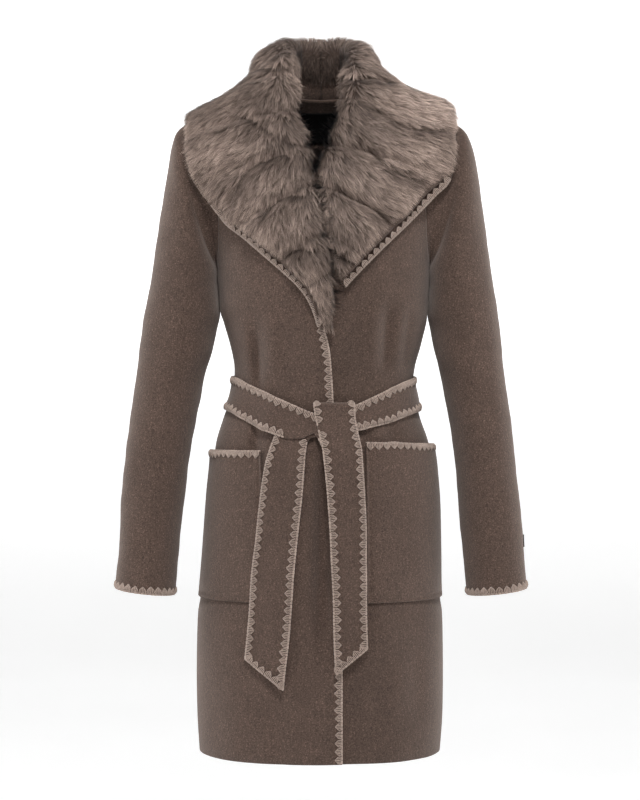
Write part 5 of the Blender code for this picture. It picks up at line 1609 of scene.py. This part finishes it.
class CoatFur(PropertyGroup):
    root: colour_property("Root", "Colour at the root", (0.085, 0.059, 0.048))
    middle: colour_property("Middle", "Colour halfway", (0.400, 0.300, 0.250))
    tip: colour_property("Tip", "Colour at the tip", (0.820, 0.640, 0.535))
    hair_length: length_property("Hair length", "Length of a hair along the form", 0.023)
    hair_width: length_property("Hair width", "Half width of a hair at its root", 0.00024)
    overhang: length_property("Overhang", "How far hair passes the outer edge", 0.003)
    skin_share: number_property("Skin height", "Height of the skin in the fur's depth", 0.62, 0.1, 1.0)
    density: number_property("Density", "Tufts per square metre", 215000.0, 0.0, 1e7)
    hairs: IntProperty(name="Hairs", description="Hairs in a tuft", default=5, min=1, max=12)
    kinds: IntProperty(name="Kinds", description="Different tufts", default=8, min=1, max=16)
    seed: IntProperty(name="Seed", description="Scatter of the tufts", default=5, min=0)


class CoatEdging(PropertyGroup):
    colour: colour_property("Colour", "Light yarn of the edging", (0.500, 0.385, 0.322))
    pitch: length_property("Pitch", "From one fan of yarn to the next", 0.0108)
    link_pitch: length_property("Link pitch", "From one link of the edge chain to the next", 0.0048)
    fan_height: length_property("Fan height", "From the edge inward", 0.0094)
    fan_width: length_property("Fan width", "Along the edge", 0.0092)
    yarn: length_property("Yarn", "Radius of the yarn", 0.00062)
    edge_radius: length_property("Edge radius", "Radius of the chain over the cloth's edge", 0.00150)
    lapel_lift: number_property("Lapel lift", "Rise of the lapel's fans over the fur", 0.50)
    seed: IntProperty(name="Seed", description="Small differences between fans", default=3, min=0)


class CoatStage(PropertyGroup):
    floor_z: length_property("Floor", "Depth of the floor below the neck", 1.30)
    lens: number_property("Lens", "Focal length in millimetres", 93.3, 1.0, 500.0)
    distance: length_property("Camera distance", "From the camera to the coat", 2.8)
    key: number_property("Key light", "Watts of the large light from the left", 35.0)
    fill: number_property("Fill light", "Watts of the light from the right", 30.0)
    top: number_property("Top light", "Watts of the light from the front above", 61.0)
    sky: number_property("Surrounding light", "Strength of the even light", 0.12)
    backdrop: number_property("Backdrop", "Strength of the backdrop's own light", 0.9)


class CoatStep(Operator):
    """Shared parts of the building steps."""
    bl_options = {"REGISTER", "UNDO"}

    def piece(self, node, slot_name, faces, held, rests_on, free, loop=False, dark=False):
        """One wool piece over a solid; free tells which of its edges are rounded rims."""
        made[node] = faces
        settings = bpy.context.scene.coat_cloth
        # dark pieces take the darker copy of the wool, painted shade
        colour = tuple(settings.shaded if dark else settings.colour)
        look = wool_material(slot_name + "_look", colour, settings)
        obj = cloth_object("cloth_" + node, *faces, look, loop, free)
        declare(obj, node, faces[0], loop)


class COAT_OT_body(CoatStep):
    """Build the back and the two fronts"""
    bl_idname = "coat.body"
    bl_label = "Back and fronts"

    def execute(self, context):
        for node, slot_name, grid, side, ends, free in (
                ("back", "wool", back_panel(), 1, [0, -1], (0, 1, 0, 0)),
                ("right_front", "wool_front", front_panel(-1), -1, [0], (0, 1, 0, 1)),
                ("left_front", "wool_left", front_panel(1), -1, [0], (0, 1, 0, 1))):
            # the left front, lying under the right front, is painted darker as if in shade
            self.piece(node, slot_name, panel_faces(grid, side, ends), "hung",
                       ["wearer_shoulders"], free, dark=node == "left_front")
        return {"FINISHED"}


class COAT_OT_sleeves(CoatStep):
    """Build both sleeves from their armholes to their cuffs"""
    bl_idname = "coat.sleeves"
    bl_label = "Sleeves"

    def execute(self, context):
        for name, mirror in SIDES:
            node, front = name + "_sleeve", name + "_front"
            faces = sleeve_faces(mirror, made[front], made["back"])
            self.piece(node, "wool_" + node, faces, "hung", [front, "back"], (0, 1, 0, 0), True)
        return {"FINISHED"}


class COAT_OT_collar(CoatStep):
    """Build the wool collar with its lapels"""
    bl_idname = "coat.collar"
    bl_label = "Wool collar"

    def execute(self, context):
        for name, mirror in SIDES:
            node = name + "_collar"
            self.piece(node, "wool_" + node, collar_faces(COLLARS[mirror], mirror), "folded",
                       [name + "_front", "back"], (0, 1, 1, 1))
        return {"FINISHED"}


class COAT_OT_fur(CoatStep):
    """Build the fur upper collar with its hair"""
    bl_idname = "coat.fur"
    bl_label = "Fur collar"

    def execute(self, context):
        settings = context.scene.coat_fur
        group = tuft_objects(settings.kinds, settings.hairs, settings)
        tree = hair_tree()
        for name, mirror in SIDES:
            form = fur_form(COLLARS[mirror], mirror, made[name + "_collar"])
            skin, base, *fields = hair_fields(mirror, *form, settings)
            under = fur_skin_material("fur_%s_skin" % name, settings)
            hair_look = fur_hair_material("fur_%s_hair" % name, settings)
            shown = skin[::2, ::2]
            body_obj = cloth_object("fur_%s" % name, shown, base[::2, ::2], under)
            split = 2 * int(np.searchsorted(form[3], HAIR_SPLIT))
            for label, rows in (("back", slice(0, split + 1)), ("front", slice(split, None))):
                hair = grow_hair("hair_%s_%s" % (name, label), skin, fields, rows, group, tree,
                                 hair_look, settings)
                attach(hair, "root")
            declare(body_obj, name + "_fur_collar", shown,
                    False)
        drop_group(group)
        bpy.data.node_groups.remove(tree)
        return {"FINISHED"}


class COAT_OT_pockets(CoatStep):
    """Build both patch pockets"""
    bl_idname = "coat.pockets"
    bl_label = "Patch pockets"

    def execute(self, context):
        for name, mirror in SIDES:
            node = name + "_pocket"
            self.piece(node, "wool_" + node, pocket_faces(mirror), "laid", [name + "_front"],
                       (1, 1, 1, 1))
        return {"FINISHED"}


class COAT_OT_belt(CoatStep):
    """Build the belt tied in a half knot"""
    bl_idname = "coat.belt"
    bl_label = "Belt"

    def execute(self, context):
        self.piece("belt", "wool_belt", belt_faces(), "gathered",
                   ["right_front", "left_front", "back"], (1, 1, 1, 1))
        return {"FINISHED"}


class COAT_OT_label(CoatStep):
    """Build the bare neck label and the small sleeve tab"""
    bl_idname = "coat.label"
    bl_label = "Label and tab"

    def execute(self, context):
        colour = tuple(context.scene.coat_cloth.black)
        faces = label_faces()
        obj = cloth_object("band_neck", *faces, woven_material("label_look", colour))
        declare(obj, "neck_label", faces[0])
        tab = cloth_object("band_sleeve", *tab_faces(made["left_sleeve"][0]),
                           woven_material("tab_look", colour))
        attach(tab, "root")
        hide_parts("sleeve_tab")
        return {"FINISHED"}


class COAT_OT_edging(CoatStep):
    """Sew the light yarn edging along the lapels, front edge, cuffs, pocket tops and belt"""
    bl_idname = "coat.edging"
    bl_label = "Yarn edging"

    def execute(self, context):
        settings = context.scene.coat_edging
        fan, link = fan_shape(settings), link_shape(settings)
        tree = motif_tree()
        look = yarn_material("yarn_look", tuple(settings.colour))
        for name, slot_name, lines in self.all_lines():
            shapes = []
            for shape, pitch, role in ((fan, settings.pitch, 0), (link, settings.link_pitch, 1)):
                rows = [edge_line(*line, pitch) for line in lines]
                place, middle, inward, away = joined(rows)
                if name == "edging_belt":
                    flat = place[:, [0, 2]]
                    seen = ~np.all((flat > KNOT_BARE[0]) & (flat < KNOT_BARE[1]), -1)
                    place, middle, inward, away = (v[seen] for v in (place, middle, inward, away))
                points = middle + 0.0002 * inward if role else place + 0.0001 * away
                if name.endswith("collar") and not role:
                    raised = settings.lapel_lift
                    inward, away = unit(inward + raised * away), unit(away - raised * inward)
                obj = scratch_object("%s_%d" % (name, role), points,
                                     {"inward": inward, "away": away})
                shapes.append(run_tree(obj, tree, {
                    "Shape": shape, "Seed": settings.seed + role, "Material": look}))
            piece = merged(name, shapes, look)
            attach(piece, "root")
        for shape in (fan, link):
            bpy.data.objects.remove(shape, do_unlink=True)
        bpy.data.node_groups.remove(tree)
        return {"FINISHED"}

    def all_lines(self):
        """The edged lines of each piece: outer grid, inner grid, edge and the line next to it."""
        every = slice(None)
        first_side, last_side = ((every, 0), (every, 1)), ((every, -1), (every, -2))
        belt_out, belt_in = made["belt"]
        rows = [("edging_belt", "wool_belt", [
            (belt_out, belt_in, *pair) for pair in (first_side, last_side, (0, 1), (-1, -2))])]
        front_out, front_in = made["right_front"]
        low = front_out[:, -1, 2] < LAPEL_FOOT_Z
        rows.append(("edging_front", "wool_front", [(front_out[low], front_in[low], *last_side)]))
        for name, mirror in SIDES:
            outer, inner = made[name + "_collar"]
            begin = int(EDGING_BEGINS[mirror] * COLLAR_FINE)
            rows.append(("edging_%s_collar" % name, "wool_%s_collar" % name, [
                (outer[begin:], inner[begin:], *last_side)]))
            wrap = [np.concatenate([g[-6:], g[-6:, :1]], 1) for g in made[name + "_sleeve"]]
            rows.append(("edging_%s_cuff" % name, "wool_%s_sleeve" % name, [(*wrap, -1, -2)]))
            rows.append(("edging_%s_pocket" % name, "wool_%s_pocket" % name, [
                (*made[name + "_pocket"], 0, 1)]))
        return rows


def merged(name, objects, material):
    """Joins plain mesh objects into one."""
    points, faces, first = [], [], 0
    for obj in objects:
        source = obj.data
        co = np.empty(len(source.vertices) * 3, np.float32)
        source.vertices.foreach_get("co", co)
        points.append(co.reshape(-1, 3))
        faces += [tuple(v + first for v in p.vertices) for p in source.polygons]
        first += len(source.vertices)
        bpy.data.objects.remove(obj, do_unlink=True)
    mesh = bpy.data.meshes.new(name)
    mesh.from_pydata(np.concatenate(points).tolist(), [], faces)
    mesh.polygons.foreach_set("use_smooth", np.ones(len(mesh.polygons), bool))
    mesh.materials.append(material)
    mesh.update()
    return linked(name, mesh)


class COAT_OT_stage(CoatStep):
    """Build the plain floor, the soft lights and the camera"""
    bl_idname = "coat.stage"
    bl_label = "Floor, lights and camera"

    def execute(self, context):
        s = context.scene.coat_stage
        self.floor(s, -s.floor_z)
        for name, at, size, power in (("key", (-2.6, -0.6, 0.8), 1.4, s.key),
                                      ("fill", (2.6, -0.6, 0.8), 1.4, s.fill),
                                      ("top", (0.1, -2.0, 1.9), 0.7, s.top)):
            light = bpy.data.lights.new(name, "AREA")
            light.energy, light.size = power, size
            lamp = linked(name, light)
            lamp.location = at
            look_at(lamp, (0.0, 0.0, COAT_MIDDLE_Z))
        self.surrounding(context.scene, s.sky)
        camera = bpy.data.cameras.new("camera")
        camera.lens, camera.sensor_width = s.lens, 36.0
        eye = linked("camera", camera)
        eye.location = (EYE_X, -s.distance, EYE_Z)
        eye.rotation_euler = (math.pi / 2, 0.0, 0.0)
        context.scene.camera = eye
        context.scene.view_settings.view_transform = "Standard"
        return {"FINISHED"}

    def floor(self, s, level):
        """Floor that bends up into a backdrop and glows more the higher it is."""
        line = ([(-9.0, level), (-4.0, level), (1.5, level)]
                + [(BEND_Y + BEND * math.sin(a), level + BEND - BEND * math.cos(a))
                   for a in np.linspace(0, np.pi / 2, 13)]
                + [(BEND_Y + BEND, 2.5), (BEND_Y + BEND, 6.5)])
        grid = np.array([[(x, y, z) for x in (-11.0, 0.0, 11.0)] for y, z in line])
        look = Shader("stage_look")
        where = look.place()
        tint = look.greys(look.noise(where, 1.5), (0.3, 0.80), (0.7, 0.84))
        height = look.add("ShaderNodeSeparateXYZ", {0: where}).outputs["Z"]
        rise = look.add("ShaderNodeMapRange", {"Value": height, "From Min": level,
                                               "From Max": level + 1.2})
        glow = look.greys(rise.outputs["Result"], (0.0, 0.42), (1.0, 1.0))
        look.finished(Base_Color=tint, Emission_Color=glow, Emission_Strength=s.backdrop,
                      Roughness=0.95)
        obj = mesh_object("floor", grid.reshape(-1, 3), grid_quads(len(line), 3, False, False),
                          look.material)

    def surrounding(self, scene, strength):
        """Even light on the coat, and plain white where the camera sees past everything."""
        scene.world = bpy.data.worlds.new("even light")
        scene.world.use_nodes = True
        sky = Nodes(scene.world.node_tree)
        nodes = sky.tree.nodes
        for name, value in (("Color", (1.0, 1.0, 1.0, 1.0)), ("Strength", strength)):
            sky.feed(nodes["Background"].inputs[name], value)
        bright = sky.add("ShaderNodeBackground", {"Color": (1.0, 1.0, 1.0, 1.0), "Strength": 1.0})
        seen = sky.add("ShaderNodeLightPath").outputs["Is Camera Ray"]
        choose = sky.add("ShaderNodeMixShader", {0: seen, 1: nodes["Background"].outputs[0],
                                                 2: bright.outputs[0]})
        sky.feed(nodes["World Output"].inputs["Surface"], choose.outputs[0])


class COAT_PT_panel(Panel):
    """Sizes and steps of the coat"""
    bl_idname = "COAT_PT_panel"
    bl_label = "Belted coat"
    bl_space_type = "VIEW_3D"
    bl_region_type = "UI"
    bl_category = "Coat"

    def draw(self, context):
        for step, group in STEPS:
            box = self.layout.box()
            box.operator(step)
            if group:
                settings = getattr(context.scene, group)
                for item in settings.bl_rna.properties:
                    if item.identifier not in ("rna_type", "name"):
                        box.prop(settings, item.identifier)


STEPS = (
    ("coat.body", "coat_cloth"), ("coat.sleeves", ""), ("coat.collar", ""), ("coat.pockets", ""),
    ("coat.belt", ""), ("coat.label", ""), ("coat.fur", "coat_fur"), ("coat.edging", "coat_edging"),
    ("coat.stage", "coat_stage"))
GROUPS = {"coat_cloth": CoatCloth, "coat_fur": CoatFur, "coat_edging": CoatEdging,
          "coat_stage": CoatStage}
CLASSES = (CoatCloth, CoatFur, CoatEdging, CoatStage, COAT_OT_body, COAT_OT_sleeves,
           COAT_OT_collar, COAT_OT_fur, COAT_OT_pockets, COAT_OT_belt, COAT_OT_label,
           COAT_OT_edging, COAT_OT_stage, COAT_PT_panel)


def register():
    for item in CLASSES:
        bpy.utils.register_class(item)
    for name, group in GROUPS.items():
        setattr(bpy.types.Scene, name, PointerProperty(type=group))


def unregister():
    for name in GROUPS:
        delattr(bpy.types.Scene, name)
    for item in reversed(CLASSES):
        bpy.utils.unregister_class(item)


def main():
    register()
    for step, _ in STEPS:
        group, name = step.split(".")
        if getattr(getattr(bpy.ops, group), name)() != {"FINISHED"}:
            raise RuntimeError(step + " did not finish")


if __name__ == "__main__":
    main()
